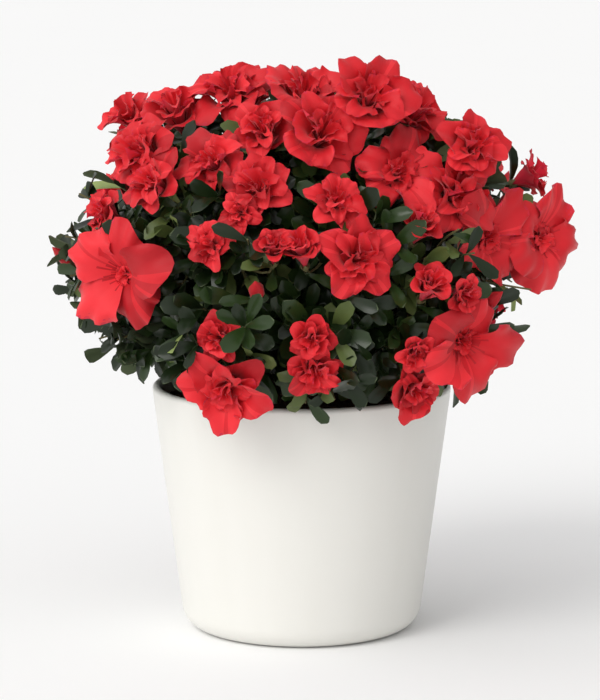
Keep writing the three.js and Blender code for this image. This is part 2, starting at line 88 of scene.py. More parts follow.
def chance(owner: Array | int, item: Array | int, use: Array | int) -> Array:
    """Repeatable numbers from 0 to 1, from a mix of three whole numbers' bits.

    Args:
        owner: the number of the mass, bloom, shoot or set that the number is for.
        item: the item that it is for in there.
        use: what the number is used for.

    Returns:
        One number for each set of keys.
    """
    with np.errstate(over="ignore"):
        a, b, c = (np.asarray(key).astype(np.uint32) + np.uint32(1) for key in (owner, item, use))
        mixed = a * MIX[0] ^ b * MIX[1] ^ c * MIX[2]
        mixed = (mixed ^ (mixed >> np.uint32(15))) * MIX[2]
        mixed = (mixed ^ (mixed >> np.uint32(13))) * MIX[3]
        mixed = mixed ^ (mixed >> np.uint32(16))
    return mixed.astype(np.float64) / 2**32


def spread(owner: Array | int, item: Array | int, use: Array | int) -> Array:
    """Repeatable numbers from -1 to 1."""
    return 2 * chance(owner, item, use) - 1


def unit(vectors: Array) -> Array:
    """Each vector divided by its own length."""
    return vectors / np.maximum(np.linalg.norm(vectors, axis=-1, keepdims=True), 1e-9)


def heading(bearing: float, elevation: float) -> Array:
    """The direction at a bearing and an elevation, both in degrees."""
    b, e = math.radians(bearing), math.radians(elevation)
    return np.array([math.sin(b) * math.cos(e), -math.cos(b) * math.cos(e), math.sin(e)])


def across(axes: Array) -> tuple[Array, Array]:
    """Two directions square to each axis: up crossed with it, or +X for an upright one, and the third.

    Args:
        axes: unit directions, the last axis of the array holding x, y and z.

    Returns:
        The level directions, and those square to both.
    """
    level = np.cross(UP, axes)
    flat = np.linalg.norm(level, axis=-1, keepdims=True) < 1e-3
    level = unit(np.where(flat, np.array([1.0, 0.0, 0.0]), level))
    return level, unit(np.cross(axes, level))


def leaned(axes: Array, angle: Array | float, turn: Array | float) -> Array:
    """Axes leaned by an angle towards a turn about themselves.

    Args:
        axes: unit directions, the last axis of the array holding x, y and z.
        angle: how far each leans, in radians.
        turn: where it leans to, counted from the level direction, in radians.

    Returns:
        Unit directions: the axis times cos(angle) plus a square direction times sin(angle).
    """
    level, rise = across(axes)
    angle, turn = np.asarray(angle)[..., None], np.asarray(turn)[..., None]
    side = level * np.cos(turn) + rise * np.sin(turn)
    return unit(axes * np.cos(angle) + side * np.sin(angle))


# ------------------------------------------------------------------ meshes


@dataclass
class MeshBuilder:
    """Collects arrays of corners and faces, and makes one mesh object of them."""

    corners: list[Array] = field(default_factory=list)
    faces: list[tuple[Array, Array]] = field(default_factory=list)
    count: int = 0

    def add(self, corners: Array, faces: Iterable[Array], slots: Iterable[Array | int] = (0,)) -> None:
        """Adds copies of one shape.

        Args:
            corners: an array of copies by corners by three.
            faces: arrays of faces, each with its own number of corners, numbered within one copy.
            slots: for each array of faces its material, as one number, one for each copy, or one for
                each copy and face.
        """
        copies, size = corners.shape[:2]
        starts = self.count + size * np.arange(copies)
        for face, slot in zip(faces, slots):
            numbered = face[None] + starts[:, None, None]
            slot = np.asarray(slot)
            slot = slot[:, None] if slot.ndim == 1 else slot
            finish = np.broadcast_to(slot, numbered.shape[:2])
            self.faces.append((numbered.reshape(-1, face.shape[1]), finish.reshape(-1)))
        self.corners.append(corners.reshape(-1, 3))
        self.count += copies * size

    def build(
        self, name: str, materials: Iterable[bpy.types.Material], smooth: bool = True
    ) -> bpy.types.Object:
        """Makes the object, with its place in its mesh.

        Args:
            name: the object's name.
            materials: its material slots, in the order that the faces' numbers give.
            smooth: whether its faces are shaded smooth.

        Returns:
            The new object, linked to the scene.
        """
        mesh = bpy.data.meshes.new(name)
        corners = np.concatenate(self.corners) * MM
        totals = np.concatenate([np.full(len(face), face.shape[1]) for face, _ in self.faces])
        starts = np.concatenate([[0], np.cumsum(totals)[:-1]])
        loops = np.concatenate([face.reshape(-1) for face, _ in self.faces])
        slots = np.concatenate([slot for _, slot in self.faces])
        mesh.vertices.add(len(corners))
        mesh.vertices.foreach_set("co", corners.astype(np.float32).ravel())
        mesh.loops.add(len(loops))
        mesh.loops.foreach_set("vertex_index", loops.astype(np.int32))
        mesh.polygons.add(len(totals))
        mesh.polygons.foreach_set("loop_start", starts.astype(np.int32))
        mesh.polygons.foreach_set("loop_total", totals.astype(np.int32))
        for material in materials:
            mesh.materials.append(material)
        mesh.polygons.foreach_set("material_index", slots.astype(np.int32))
        mesh.polygons.foreach_set("use_smooth", np.full(len(totals), smooth))
        mesh.update(calc_edges=True)
        mesh.validate()
        if smooth:
            mesh.set_sharp_from_angle(angle=SHARP_ANGLE)
        piece = bpy.data.objects.new(name, mesh)
        bpy.context.scene.collection.objects.link(piece)
        return piece


@dataclass(frozen=True)
class Blade:
    """A thin closed sheet on a grid: an upper and a lower skin that share their outline."""

    rows: int
    columns: int
    ease: float = 1.4

    @property
    def along(self) -> Array:
        """The share of the sheet's length at each point, in rows that close up towards the tip."""
        return np.repeat(1 - (1 - np.linspace(0, 1, self.rows)[:, None]) ** self.ease, self.columns, 1)

    @property
    def aside(self) -> Array:
        """The share of the sheet's half width at each point of the grid, from -1 to 1."""
        return np.repeat(np.linspace(-1, 1, self.columns)[None], self.rows, 0)

    def faces(self) -> tuple[Array, Array]:
        """Quads of neighbouring points, the lower ones turned round.

        Returns:
            The upper and the lower faces. They share the corners on the outline.
        """
        top = np.arange(self.rows * self.columns).reshape(self.rows, self.columns)
        low = top.copy()
        inner = (self.rows - 2) * (self.columns - 2)
        low[1:-1, 1:-1] = top.size + np.arange(inner).reshape(self.rows - 2, self.columns - 2)
        return self._quads(top), self._quads(low)[:, ::-1]

    @staticmethod
    def _quads(grid: Array) -> Array:
        """The quads between a grid's neighbouring numbers."""
        around = [grid[:-1, :-1], grid[1:, :-1], grid[1:, 1:], grid[:-1, 1:]]
        return np.stack(around, -1).reshape(-1, 4)

    def corners(self, middle: Array, thickness: float) -> Array:
        """The corners of sheets, from their middle surfaces.

        Args:
            middle: an array of copies by rows by columns by three.
            thickness: the distance between the skins at the sheet's middle. It falls to nothing at the
                outline as one minus the square of the share of the width, and so along the length.

        Returns:
            An array of copies by corners by three, moved half the thickness along each sheet's normals.
        """
        normal = unit(np.cross(np.gradient(middle, axis=1), np.gradient(middle, axis=2)))
        fade = (1 - self.aside**2) * (1 - (2 * self.along - 1) ** 8)
        offset = normal * (thickness / 2 * fade)[None, :, :, None]
        upper, lower = middle + offset, (middle - offset)[:, 1:-1, 1:-1]
        return np.concatenate([upper.reshape(len(middle), -1, 3), lower.reshape(len(middle), -1, 3)], 1)


def tube_faces(sections: int, sides: int) -> tuple[Array, Array]:
    """The faces of a closed tube: its sides as quads, and its two ends.

    Args:
        sections: the rings along the tube.
        sides: the points in a ring.

    Returns:
        The quads, and the two faces that close the ends.
    """
    ring = np.arange(sections * sides).reshape(sections, sides)
    turned = np.roll(ring, -1, 1)
    walls = np.stack([ring[:-1], turned[:-1], turned[1:], ring[1:]], -1).reshape(-1, 4)
    return walls, np.stack([ring[0, ::-1], ring[-1]])


def tube_corners(
    paths: Array, radii: Array, sides: int, relief: Callable[[Array, Array], Array] | None = None
) -> Array:
    """The corners of tubes along paths: each ring stands square to its path, at its radius.

    Args:
        paths: an array of copies by sections by three.
        radii: an array of copies by sections.
        sides: the points in a ring.
        relief: a function of section share and angle that gives a factor on the radius.

    Returns:
        An array of copies by corners by three.
    """
    tangent = unit(np.gradient(paths, axis=1))
    chord = unit(paths[:, -1] - paths[:, 0])
    level = across(chord)[0][:, None]
    x = unit(level - tangent * np.sum(level * tangent, -1, keepdims=True))
    y = np.cross(tangent, x)
    angle = 2 * math.pi * np.arange(sides) / sides
    reach = np.broadcast_to(radii[:, :, None], (*radii.shape, sides))
    if relief is not None:
        share = np.linspace(0, 1, paths.shape[1])[:, None]
        reach = reach * relief(share, angle[None])
    ring = x[:, :, None] * np.cos(angle)[:, None] + y[:, :, None] * np.sin(angle)[:, None]
    return (paths[:, :, None] + ring * reach[..., None]).reshape(len(paths), -1, 3)


def turned_corners(profile: Array, sides: int) -> Array:
    """A profile carried once round +Z.

    Args:
        profile: an array of points by radius and height.
        sides: the steps round.

    Returns:
        One closed band of corners, as an array of one copy by corners by three.
    """
    angle = 2 * math.pi * np.arange(sides) / sides
    x = profile[:, None, 0] * np.cos(angle)
    y = profile[:, None, 0] * np.sin(angle)
    z = np.repeat(profile[:, None, 1], sides, 1)
    return np.stack([x, y, z], -1).reshape(1, -1, 3)


def bezier(ends: Curve, shares: Array) -> Array:
    """Points of quadratic curves at even shares of their length.

    Args:
        ends: the start, the control point and the end, each an array of curves by three.
        shares: the shares of the length, from 0 to 1.

    Returns:
        An array of curves by shares by three: (1-t)^2 a + 2t(1-t) b + t^2 c, with t read back from length.
    """
    start, bend, stop = (np.atleast_2d(end)[:, None] for end in ends)
    t = np.linspace(0, 1, CURVE_STEPS + 1)[None, :, None]
    points = (1 - t) ** 2 * start + 2 * t * (1 - t) * bend + t**2 * stop
    step = np.linalg.norm(np.diff(points, axis=1), axis=-1)
    length = np.concatenate([np.zeros((len(points), 1)), np.cumsum(step, 1)], 1)
    length /= length[:, -1:]
    picked = np.stack([np.interp(shares, length[k], t[0, :, 0]) for k in range(len(points))])[..., None]
    return (1 - picked) ** 2 * start + 2 * picked * (1 - picked) * bend + picked**2 * stop


# ------------------------------------------------------------------ finishes


def mottle_group() -> bpy.types.NodeTree:
    """The node group that breaks a colour up: two colours mixed by noise in the object's own space.

    Returns:
        A group with Base, Other, Scale and Amount inputs, and Color and Height outputs.
    """
    group = bpy.data.node_groups.new("mottle", "ShaderNodeTree")
    sockets = group.interface
    for name, kind, value in (
        ("Base", "NodeSocketColor", (1, 1, 1, 1)),
        ("Other", "NodeSocketColor", (0, 0, 0, 1)),
        ("Scale", "NodeSocketVector", (100, 100, 100)),
        ("Amount", "NodeSocketFloat", 0.5),
    ):
        sockets.new_socket(name, in_out="INPUT", socket_type=kind).default_value = value
    sockets.new_socket("Color", in_out="OUTPUT", socket_type="NodeSocketColor")
    sockets.new_socket("Height", in_out="OUTPUT", socket_type="NodeSocketFloat")
    nodes, links = group.nodes, group.links
    source, sink = nodes.new("NodeGroupInput"), nodes.new("NodeGroupOutput")
    place, mapping = nodes.new("ShaderNodeTexCoord"), nodes.new("ShaderNodeMapping")
    noise, amount = nodes.new("ShaderNodeTexNoise"), nodes.new("ShaderNodeMath")
    mix = nodes.new("ShaderNodeMix")
    noise.inputs["Scale"].default_value = 1.0
    noise.inputs["Detail"].default_value = 3.0
    amount.operation = "MULTIPLY"
    mix.data_type = "RGBA"
    links.new(place.outputs["Object"], mapping.inputs["Vector"])
    links.new(source.outputs["Scale"], mapping.inputs["Scale"])
    links.new(mapping.outputs["Vector"], noise.inputs["Vector"])
    links.new(noise.outputs["Fac"], amount.inputs[0])
    links.new(source.outputs["Amount"], amount.inputs[1])
    links.new(amount.outputs[0], mix.inputs["Factor"])
    links.new(source.outputs["Base"], mix.inputs["A"])
    links.new(source.outputs["Other"], mix.inputs["B"])
    links.new(mix.outputs["Result"], sink.inputs["Color"])
    links.new(noise.outputs["Fac"], sink.inputs["Height"])
    return group


@dataclass(frozen=True)
class Finish:
    """One material: a mottled colour with its gloss, softness and grain.

    The scale is in spots a metre along each axis, the grain in millimetres, and the glow's radius in
    metres for red, green and blue.
    """

    name: str
    base: Colour
    other: Colour
    scale: tuple[float, float, float]
    amount: float = 0.8
    roughness: float = 0.5
    specular: float = 0.5
    coat: float = 0.0
    sheen: float = 0.0
    glow: float = 0.0
    glow_radius: tuple[float, float, float] = (0.004, 0.0006, 0.0005)
    grain: float = 0.0
    relief: float = 0.6

    def material(self, mottle: bpy.types.NodeTree) -> bpy.types.Material:
        """Makes the material.

        Args:
            mottle: the shared node group that breaks up the colour.

        Returns:
            The new material, on one Principled shader.
        """
        material = bpy.data.materials.new(self.name)
        material.use_nodes = True
        nodes, links = material.node_tree.nodes, material.node_tree.links
        shader = nodes["Principled BSDF"]
        pattern = nodes.new("ShaderNodeGroup")
        pattern.node_tree = mottle
        pattern.inputs["Base"].default_value = (*self.base, 1)
        pattern.inputs["Other"].default_value = (*self.other, 1)
        pattern.inputs["Scale"].default_value = self.scale
        pattern.inputs["Amount"].default_value = self.amount
        links.new(pattern.outputs["Color"], shader.inputs["Base Color"])
        shader.inputs["Roughness"].default_value = self.roughness
        shader.inputs["Specular IOR Level"].default_value = self.specular
        shader.inputs["Coat Weight"].default_value = self.coat
        shader.inputs["Sheen Weight"].default_value = self.sheen
        if self.glow:
            shader.inputs["Subsurface Weight"].default_value = self.glow
            shader.inputs["Subsurface Radius"].default_value = self.glow_radius
            shader.inputs["Subsurface Scale"].default_value = 1.0
        if self.grain:
            bump = nodes.new("ShaderNodeBump")
            bump.inputs["Strength"].default_value = self.relief
            bump.inputs["Distance"].default_value = self.grain * MM
            links.new(pattern.outputs["Height"], bump.inputs["Height"])
            links.new(bump.outputs["Normal"], shader.inputs["Normal"])
        return material


def leaf(name: str, base: Colour, other: Colour, roughness: float = 0.45, specular: float = 0.35) -> Finish:
    """A leaf's finish, with a fine mottle."""
    return Finish(name, base, other, (160,) * 3, roughness=roughness, specular=specular)


def petal(
    name: str, base: Colour, other: Colour, matt: bool = False, sheen: float = 0.12, glow: float = 0.12
) -> Finish:
    """A petal's finish, velvety and lit a little from within.

    Args:
        name: the material's name.
        base: its colour.
        other: the colour that is mottled over it.
        matt: whether it is duller than the petal's face.
        sheen: the weight of its velvet.
        glow: the weight of the light that passes through it.

    Returns:
        The finish.
    """
    roughness, specular = (0.6, 0.25) if matt else (0.55, 0.3)
    return Finish(
        name, base, other, (90,) * 3, roughness=roughness, specular=specular, sheen=sheen, glow=glow
    )


class Paint(Enum):
    """Every finish on the plant and its pot."""

    GLAZE = Finish(
        "warm_white_glaze",
        (0.80, 0.79, 0.75),
        (0.76, 0.75, 0.70),
        (55, 55, 4),
        roughness=0.40,
        specular=0.4,
        coat=0.1,
    )
    PEAT = Finish(
        "damp_peat",
        (0.035, 0.018, 0.010),
        (0.10, 0.055, 0.03),
        (420, 420, 420),
        roughness=0.95,
        specular=0.2,
        grain=1.2,
    )
    BARK = Finish(
        "brown_bark",
        (0.17, 0.10, 0.06),
        (0.07, 0.04, 0.025),
        (260, 260, 90),
        amount=1.0,
        roughness=0.85,
        specular=0.3,
        grain=0.5,
    )
    TWIG = Finish(
        "green_twig", (0.13, 0.14, 0.05), (0.14, 0.08, 0.04), (300, 300, 300), roughness=0.7, specular=0.4
    )
    LEAF_DARK = leaf("leaf_dark", (0.006, 0.013, 0.003), (0.010, 0.021, 0.005), 0.28, 0.30)
    LEAF_MID = leaf("leaf_mid", (0.015, 0.032, 0.007), (0.026, 0.050, 0.011), 0.28, 0.34)
    LEAF_OLIVE = leaf("leaf_olive", (0.075, 0.105, 0.026), (0.10, 0.13, 0.035))
    LEAF_YOUNG = leaf("leaf_young", (0.24, 0.31, 0.09), (0.31, 0.38, 0.14))
    LEAF_UNDER = leaf("leaf_underside", (0.085, 0.115, 0.055), (0.11, 0.14, 0.075), 0.6, 0.3)
    PETAL = petal("petal_red", (0.70, 0.010, 0.019), (0.58, 0.006, 0.013))
    # A lighter copy of the petal red: painted highlight that stands in for lit petals, dealt at random.
    PETAL_BRIGHT = petal("petal_bright", (0.84, 0.024, 0.034), (0.74, 0.015, 0.025))
    # A darker copy of the petal red: painted shade that stands in for shaded petals and the shade between
    # them, dealt at random. The buds are all in it too.
    PETAL_DEEP = petal("petal_deep", (0.52, 0.005, 0.012), (0.42, 0.003, 0.009), sheen=0.1, glow=0.1)
    PETAL_BACK = petal("petal_back", (0.68, 0.018, 0.044), (0.58, 0.012, 0.034), matt=True)
    # The petals' bases deep in the bloom: painted shade in the throat's recess.
    THROAT = petal("petal_throat", (0.48, 0.005, 0.012), (0.38, 0.003, 0.010), matt=True, sheen=0.1, glow=0)
    FLOOR = Finish(
        "studio_floor", (0.97, 0.97, 0.97), (0.95, 0.95, 0.95), (3, 3, 3), 0.5, roughness=0.9, specular=0.1
    )


class Palette:
    """The materials, each made once."""

    def __init__(self) -> None:
        """Makes the shared node group and every material."""
        mottle = mottle_group()
        self._materials = {paint: paint.value.material(mottle) for paint in Paint}

    def __getitem__(self, paint: Paint) -> bpy.types.Material:
        """The material of a finish."""
        return self._materials[paint]

    def all_of(self, paints: Iterable[Paint]) -> list[bpy.types.Material]:
        """The materials of several finishes, in order."""
        return [self._materials[paint] for paint in paints]


# ------------------------------------------------------------------ the plan of the crown


@dataclass(frozen=True)
class Crown:
    """The crown's envelope: a rounded box with soft corners round its centre."""

    centre_height: float = 212
    half_width: float = 150
    half_depth: float = 138
    rise: float = 126
    drop: float = 86
    squareness: float = 2.3

    @property
    def centre(self) -> Array:
        """The point that every reach is counted from."""
        return np.array([0.0, 0.0, self.centre_height])

    def reach(self, directions: Array) -> Array:
        """How far the crown reaches: the sum of |component / half size|^p, to the power of -1/p.

        Args:
            directions: unit directions from the crown's centre.

        Returns:
            The distance from the centre to the envelope along each.
        """
        height = np.where(directions[..., 2] > 0, self.rise, self.drop)
        halves = np.stack(np.broadcast_arrays(self.half_width, self.half_depth, height), -1)
        return np.sum(np.abs(directions / halves) ** self.squareness, -1) ** (-1 / self.squareness)


class Tier(Enum):
    """The tiers of masses, with each one's rows.

    A row holds bearing and elevation of the axis, reach, the blooms and the buds. Each bloom and bud has
    the angle by which it leans off the axis, its turn about the axis, its size as a share of a full one,
    and the share of the mass's reach at which its shoot ends.
    """

    TOP = ((150, 84, 1.0, ((28, -55, 0.68, 0.75), (28, -100, 0.68, 0.75), (22, 60, 0.60, 0.74)), ()),)
    UPPER = (
        (-54, 38, 1.06, ((2, -176, 0.84, 0.79), (10, -50, 0.71, 0.77)), ()),
        (-24, 55, 1.03, ((24, 130, 0.97, 0.80), (4, -4, 0.62, 0.76)), ()),
        (3, 57, 1.04, ((20, 92, 0.92, 0.77), (6, -72, 0.94, 0.77)), ()),
        (46, 55, 1.12, ((10, 172, 0.92, 0.84), (6, -16, 0.77, 0.75)), ()),
        (108, 46, 1.0, ((13, 65, 0.85, 0.76), (14, -65, 0.80, 0.77), (6, 10, 0.60, 0.76)), ()),
        (-176, 50, 1.0, ((14, 85, 0.60, 0.72), (13, -160, 0.85, 0.77), (13, -20, 0.85, 0.77)), ()),
        (-100, 43, 1.06, ((5, 0, 0.64, 0.84), (17, 36, 0.72, 0.75), (17, -160, 0.75, 0.77)), ()),
    )
    MIDDLE = (
        (-54, 15, 1.05, ((9, -80, 1.27, 0.79), (8, 148, 0.53, 0.79)), ()),
        (-19, 32, 1.0, ((4, 8, 0.72, 0.77), (14, 140, 0.78, 0.77), (6, -84, 0.43, 0.82)), ()),
        (-21, 12, 1.04, ((5, 128, 0.50, 0.78),), ((13, 0, 1.3, 0.84), (13, -45, 0.8, 0.84))),
        (11, 18, 1.04, ((10, 98, 0.68, 0.77), (6, -64, 0.85, 0.77)), ((12, -145, 1.6, 0.84),)),
        (34, 31, 1.0, ((6, 76, 1.02, 0.77), (16, -4, 0.92, 0.77)), ((15, -95, 1.4, 0.82),)),
        (
            46,
            11,
            1.03,
            ((16, 16, 1.10, 0.76), (9, -120, 0.44, 0.84)),
            ((17, -145, 1.6, 0.84), (15, -65, 0.8, 0.84)),
        ),
        (71, 32, 1.1, ((11, 156, 0.79, 0.83), (11, -36, 0.53, 0.83)), ()),
        (88, 13, 1.1, ((11, -172, 1.12, 0.85),), ()),
        (122, 16, 1.04, ((11, 0, 0.90, 0.77), (11, 180, 0.90, 0.77)), ((14, 90, 1.0, 0.84),)),
        (157, 18, 1.0, ((11, 20, 0.90, 0.77), (11, 140, 0.85, 0.77), (11, -100, 0.90, 0.77)), ()),
        (-166, 14, 1.0, ((11, 40, 0.90, 0.77), (11, -140, 0.90, 0.77)), ((14, -50, 1.5, 0.84),)),
        (-130, 17, 1.02, ((11, 10, 0.75, 0.77), (11, 130, 0.85, 0.77), (11, -110, 0.85, 0.77)), ()),
        (-90, 9, 1.04, (), ((6, -60, 0.7, 0.88),)),
    )
    LOW = (
        (-56, -10, 0.94, (), ()),
        (-21, -16, 1.14, ((4, -82, 0.93, 0.78), (8, 88, 0.50, 0.77)), ()),
        (4, -13, 1.08, ((6, 100, 0.52, 0.76), (3, -108, 0.58, 0.77)), ()),
        (37, -10, 1.1, ((8, -2, 1.14, 0.775), (13, -110, 0.63, 0.79), (6, -172, 0.40, 0.77)), ()),
        (116, -13, 1.0, ((0, 0, 0.55, 0.77),), ((16, 120, 0.9, 0.84),)),
        (168, -15, 1.0, ((10, 0, 0.85, 0.77), (10, 180, 0.90, 0.77)), ()),
        (-140, -13, 1.0, ((0, 0, 0.90, 0.77),), ((16, 60, 0.9, 0.84),)),
    )

    @property
    def label(self) -> str:
        """The tier's name in the solids' names."""
        return self.name.lower()


@dataclass
class Mass:
    """One mass of foliage: where it points, its blooms' directions, and the middles of its space."""

    crown: Crown
    tier: Tier
    order: int
    index: int
    heart_share: float = 0.85

    def __post_init__(self) -> None:
        """Works out the axis, the blooms' directions and the hearts from the tier's row."""
        self.bearing, elevation, self.stretch, blooms, buds = self.tier.value[self.order]
        self.axis = heading(self.bearing, elevation)
        self.blooms, self.buds = (np.array(heads, float).reshape(-1, 4) for heads in (blooms, buds))
        hearts = self.towards(self.blooms) if blooms else self.axis[None]
        self.hearts = self.at(hearts, self.heart_share)

    def towards(self, heads: Array) -> Array:
        """The directions of blooms or buds from the crown's centre, from their leans and turns."""
        return leaned(np.tile(self.axis, (len(heads), 1)), *np.radians(heads[:, :2]).T)

    @property
    def label(self) -> str:
        """The mass's name in the solids' names."""
        return "top" if self.tier is Tier.TOP else f"{self.tier.label}_{self.order + 1}"

    def at(self, directions: Array, shares: Array | float) -> Array:
        """Points at shares of the mass's own reach along directions."""
        reach = self.stretch * self.crown.reach(directions) * shares
        return self.crown.centre + directions * reach[..., None]


@dataclass(frozen=True)
class Vessel:
    """The pot's driving sizes, and what of the plant stays clear of it."""

    rim_radius: float = 90
    height: float = 148
    foot_radius: float = 70.6
    foot_round: float = 14
    wall: float = 5.5
    floor: float = 8
    rim_round: float = 2.6
    soil_depth: float = 9
    soil_rise: float = 3

    @property
    def soil_top(self) -> float:
        """The soil's height at the wall."""
        return self.height - self.soil_depth

    def radius(self, z: Array | float) -> Array | float:
        """The outer wall's radius at a height: a straight taper."""
        return self.foot_radius + (self.rim_radius - self.foot_radius) / self.height * z

    def clears(self, points: Array, margin: float) -> Array:
        """Whether points are clear of the pot: outside its wall, over its rim or over the soil.

        Args:
            points: an array of points.
            margin: the least distance.

        Returns:
            One truth value for each point.
        """
        distance, z = np.hypot(points[..., 0], points[..., 1]), points[..., 2]
        outside = distance > self.radius(np.maximum(z, 0)) + margin
        over_soil = (z > self.soil_top + self.soil_rise + margin) & (
            distance < self.radius(self.soil_top) - self.wall - margin
        )
        return (z > self.height + margin) | outside | over_soil


class Plan:
    """All masses of the crown, and which part of it is whose."""

    def __init__(self, crown: Crown, vessel: Vessel) -> None:
        """Lays out the masses in the order of their tiers.

        Args:
            crown: the crown's envelope.
            vessel: the pot that the plant stands in.
        """
        self.crown, self.vessel = crown, vessel
        rows = [(tier, order) for tier in Tier for order in range(len(tier.value))]
        self.masses = [Mass(crown, tier, order, index) for index, (tier, order) in enumerate(rows)]

    def of_tier(self, tier: Tier) -> list[Mass]:
        """The masses of one tier."""
        return [mass for mass in self.masses if mass.tier is tier]

    def room(self, mass: Mass, points: Array) -> Array:
        """How deep points are in a mass's share of the crown.

        Args:
            mass: the mass whose share it is.
            points: an array of points.

        Returns:
            For each point, over the mass's own hearts the most, of the least distance to the plane that
            halves the way from that heart to any other mass's.
        """
        rivals = np.concatenate([other.hearts for other in self.masses if other is not mass])
        to_rivals = np.sum((points[..., None, :] - rivals) ** 2, -1)
        best = np.full(points.shape[:-1], -np.inf)
        for heart in mass.hearts:
            own = np.sum((points - heart) ** 2, -1)[..., None]
            apart = 2 * np.linalg.norm(rivals - heart, axis=-1)
            best = np.maximum(best, np.min((to_rivals - own) / apart, -1))
        return best


# ------------------------------------------------------------------ trunk and boughs


@dataclass
class Skeleton:
    """The trunk with its root flare, and the boughs that leave it and each other."""

    plan: Plan
    trunk_radius: float = 7
    trunk_tip: float = 3.4
    flare_radius: float = 13
    flare_height: float = 16
    trunk_height: float = 78
    lean: tuple[float, float] = (5, -3)
    tip_radius: float = 1.5
    bough_reach: float = 0.5
    bough_sections: int = 20
    bough_sides: int = 14
    bow: float = 0.1
    low_bow: float = -0.04
    fork_at: float = 0.42
    fork_step: float = 0.16
    trunk_sections: int = 36
    trunk_sides: int = 24
    sunk: float = 1
    relief: float = 0.07
    base_radius: dict[Tier, float] = field(
        default_factory=lambda: {Tier.UPPER: 2.7, Tier.MIDDLE: 3.0, Tier.LOW: 2.2}
    )
    leaves_trunk: dict[Tier, tuple[float, float]] = field(
        default_factory=lambda: {Tier.UPPER: (0.5, 0.84), Tier.MIDDLE: (0.12, 0.5)}
    )

    def __post_init__(self) -> None:
        """Lays the trunk's and the boughs' curves."""
        soil = self.plan.vessel.soil_top + self.plan.vessel.soil_rise
        foot = np.array([0.0, 0.0, soil - self.sunk])
        rise = UP * self.trunk_height
        self.trunk = (foot, foot + rise / 2, foot + rise + np.array([*self.lean, 0.0]))
        self.curves: dict[int, Curve] = {}
        for tier, (lowest, highest) in self.leaves_trunk.items():
            flattest_first = sorted(self.plan.of_tier(tier), key=lambda mass: mass.axis[2])
            for mass, share in zip(flattest_first, np.linspace(lowest, highest, len(flattest_first))):
                self._lay(mass, self.trunk, share, self.bow)
        for mass in self.plan.of_tier(Tier.LOW):
            above = min(self.plan.of_tier(Tier.MIDDLE), key=lambda other: self._between(other, mass))
            share = self.fork_at + self.fork_step * (mass.order % 2)
            self._lay(mass, self.curves[above.index], share, self.low_bow)

    @staticmethod
    def _between(a: Mass, b: Mass) -> float:
        """The angle between two masses' bearings, in degrees."""
        return abs((a.bearing - b.bearing + 540) % 360 - 180)

    def _lay(self, mass: Mass, parent: Curve, share: float, rise: float) -> None:
        """Lays a bough's curve, bowed up in its middle by a share of its length.

        Args:
            mass: the mass that the bough runs to.
            parent: the curve that it leaves.
            share: the share of the parent's length at which it does.
            rise: the bow, as a share of the distance from end to end.
        """
        start = bezier(parent, np.array([share]))[0, 0]
        tip = mass.at(mass.axis, self.bough_reach)
        middle = (start + tip) / 2 + UP * rise * np.linalg.norm(tip - start)
        self.curves[mass.index] = (start, middle, tip)

    def end_of(self, mass: Mass) -> tuple[Array, Array]:
        """The point and the direction in which a mass's bough, or the trunk, ends."""
        curve = self.curves.get(mass.index, self.trunk)
        return curve[2], unit(curve[2] - curve[1])

    def bark(self, share: Array, angle: Array) -> Array:
        """Relief of the bark: long ridges that wander round the limb, crossed by finer rings.

        Args:
            share: the share along the limb.
            angle: the angle round it.

        Returns:
            A factor on the radius: one plus the relief times a sum of sines.
        """
        ridges = np.sin(5 * angle + 3 * np.sin(7 * share)) + 0.6 * np.sin(9 * angle - 23 * share)
        rings = np.sin(61 * share + 2 * np.sin(angle))
        return 1 + self.relief * (0.6 * ridges + 0.4 * rings)

    def build(self, palette: Palette) -> bpy.types.Object:
        """Makes the limbs as one piece: tapering tubes with bark relief.

        The trunk's radius has a flare added that fades by e to the minus three over the flare's height.

        Args:
            palette: the materials.

        Returns:
            The limbs.
        """
        builder = MeshBuilder()
        shares = np.linspace(0, 1, self.trunk_sections)
        fade = np.exp(-shares * self.trunk_height * 3 / self.flare_height)
        radii = self.trunk_radius + (self.trunk_tip - self.trunk_radius) * shares
        radii = radii + (self.flare_radius - self.trunk_radius) * fade
        corners = tube_corners(bezier(self.trunk, shares), radii[None], self.trunk_sides, self.bark)
        builder.add(corners, tube_faces(self.trunk_sections, self.trunk_sides), (0, 0))
        shares = np.linspace(0, 1, self.bough_sections)
        for tier, base in self.base_radius.items():
            curves = [self.curves[mass.index] for mass in self.plan.of_tier(tier)]
            paths = bezier(tuple(np.stack(ends) for ends in zip(*curves)), shares)
            radii = np.tile(base + (self.tip_radius - base) * shares, (len(curves), 1))
            corners = tube_corners(paths, radii, self.bough_sides, self.bark)
            builder.add(corners, tube_faces(self.bough_sections, self.bough_sides), (0, 0))
        return builder.build("limbs", [palette[Paint.BARK]])


# ------------------------------------------------------------------ shoots of each mass


@dataclass
class Sprigs:
    """Shoots as arrays: where each leaves its stem, where it ends, which way it faces, mass and size."""

    feet: Array
    tips: Array
    axes: Array
    mass: Array
    size: Array

    @staticmethod
    def joined(parts: Iterable[Sprigs]) -> Sprigs:
        """Several sets of shoots as one."""
        parts, names = list(parts), [item.name for item in fields(Sprigs)]
        return Sprigs(*(np.concatenate([getattr(part, name) for part in parts]) for name in names))

    def picked(self, keep: Array) -> Sprigs:
        """The shoots for which an array of truth values holds."""
        return Sprigs(*(getattr(self, item.name)[keep] for item in fields(self)))


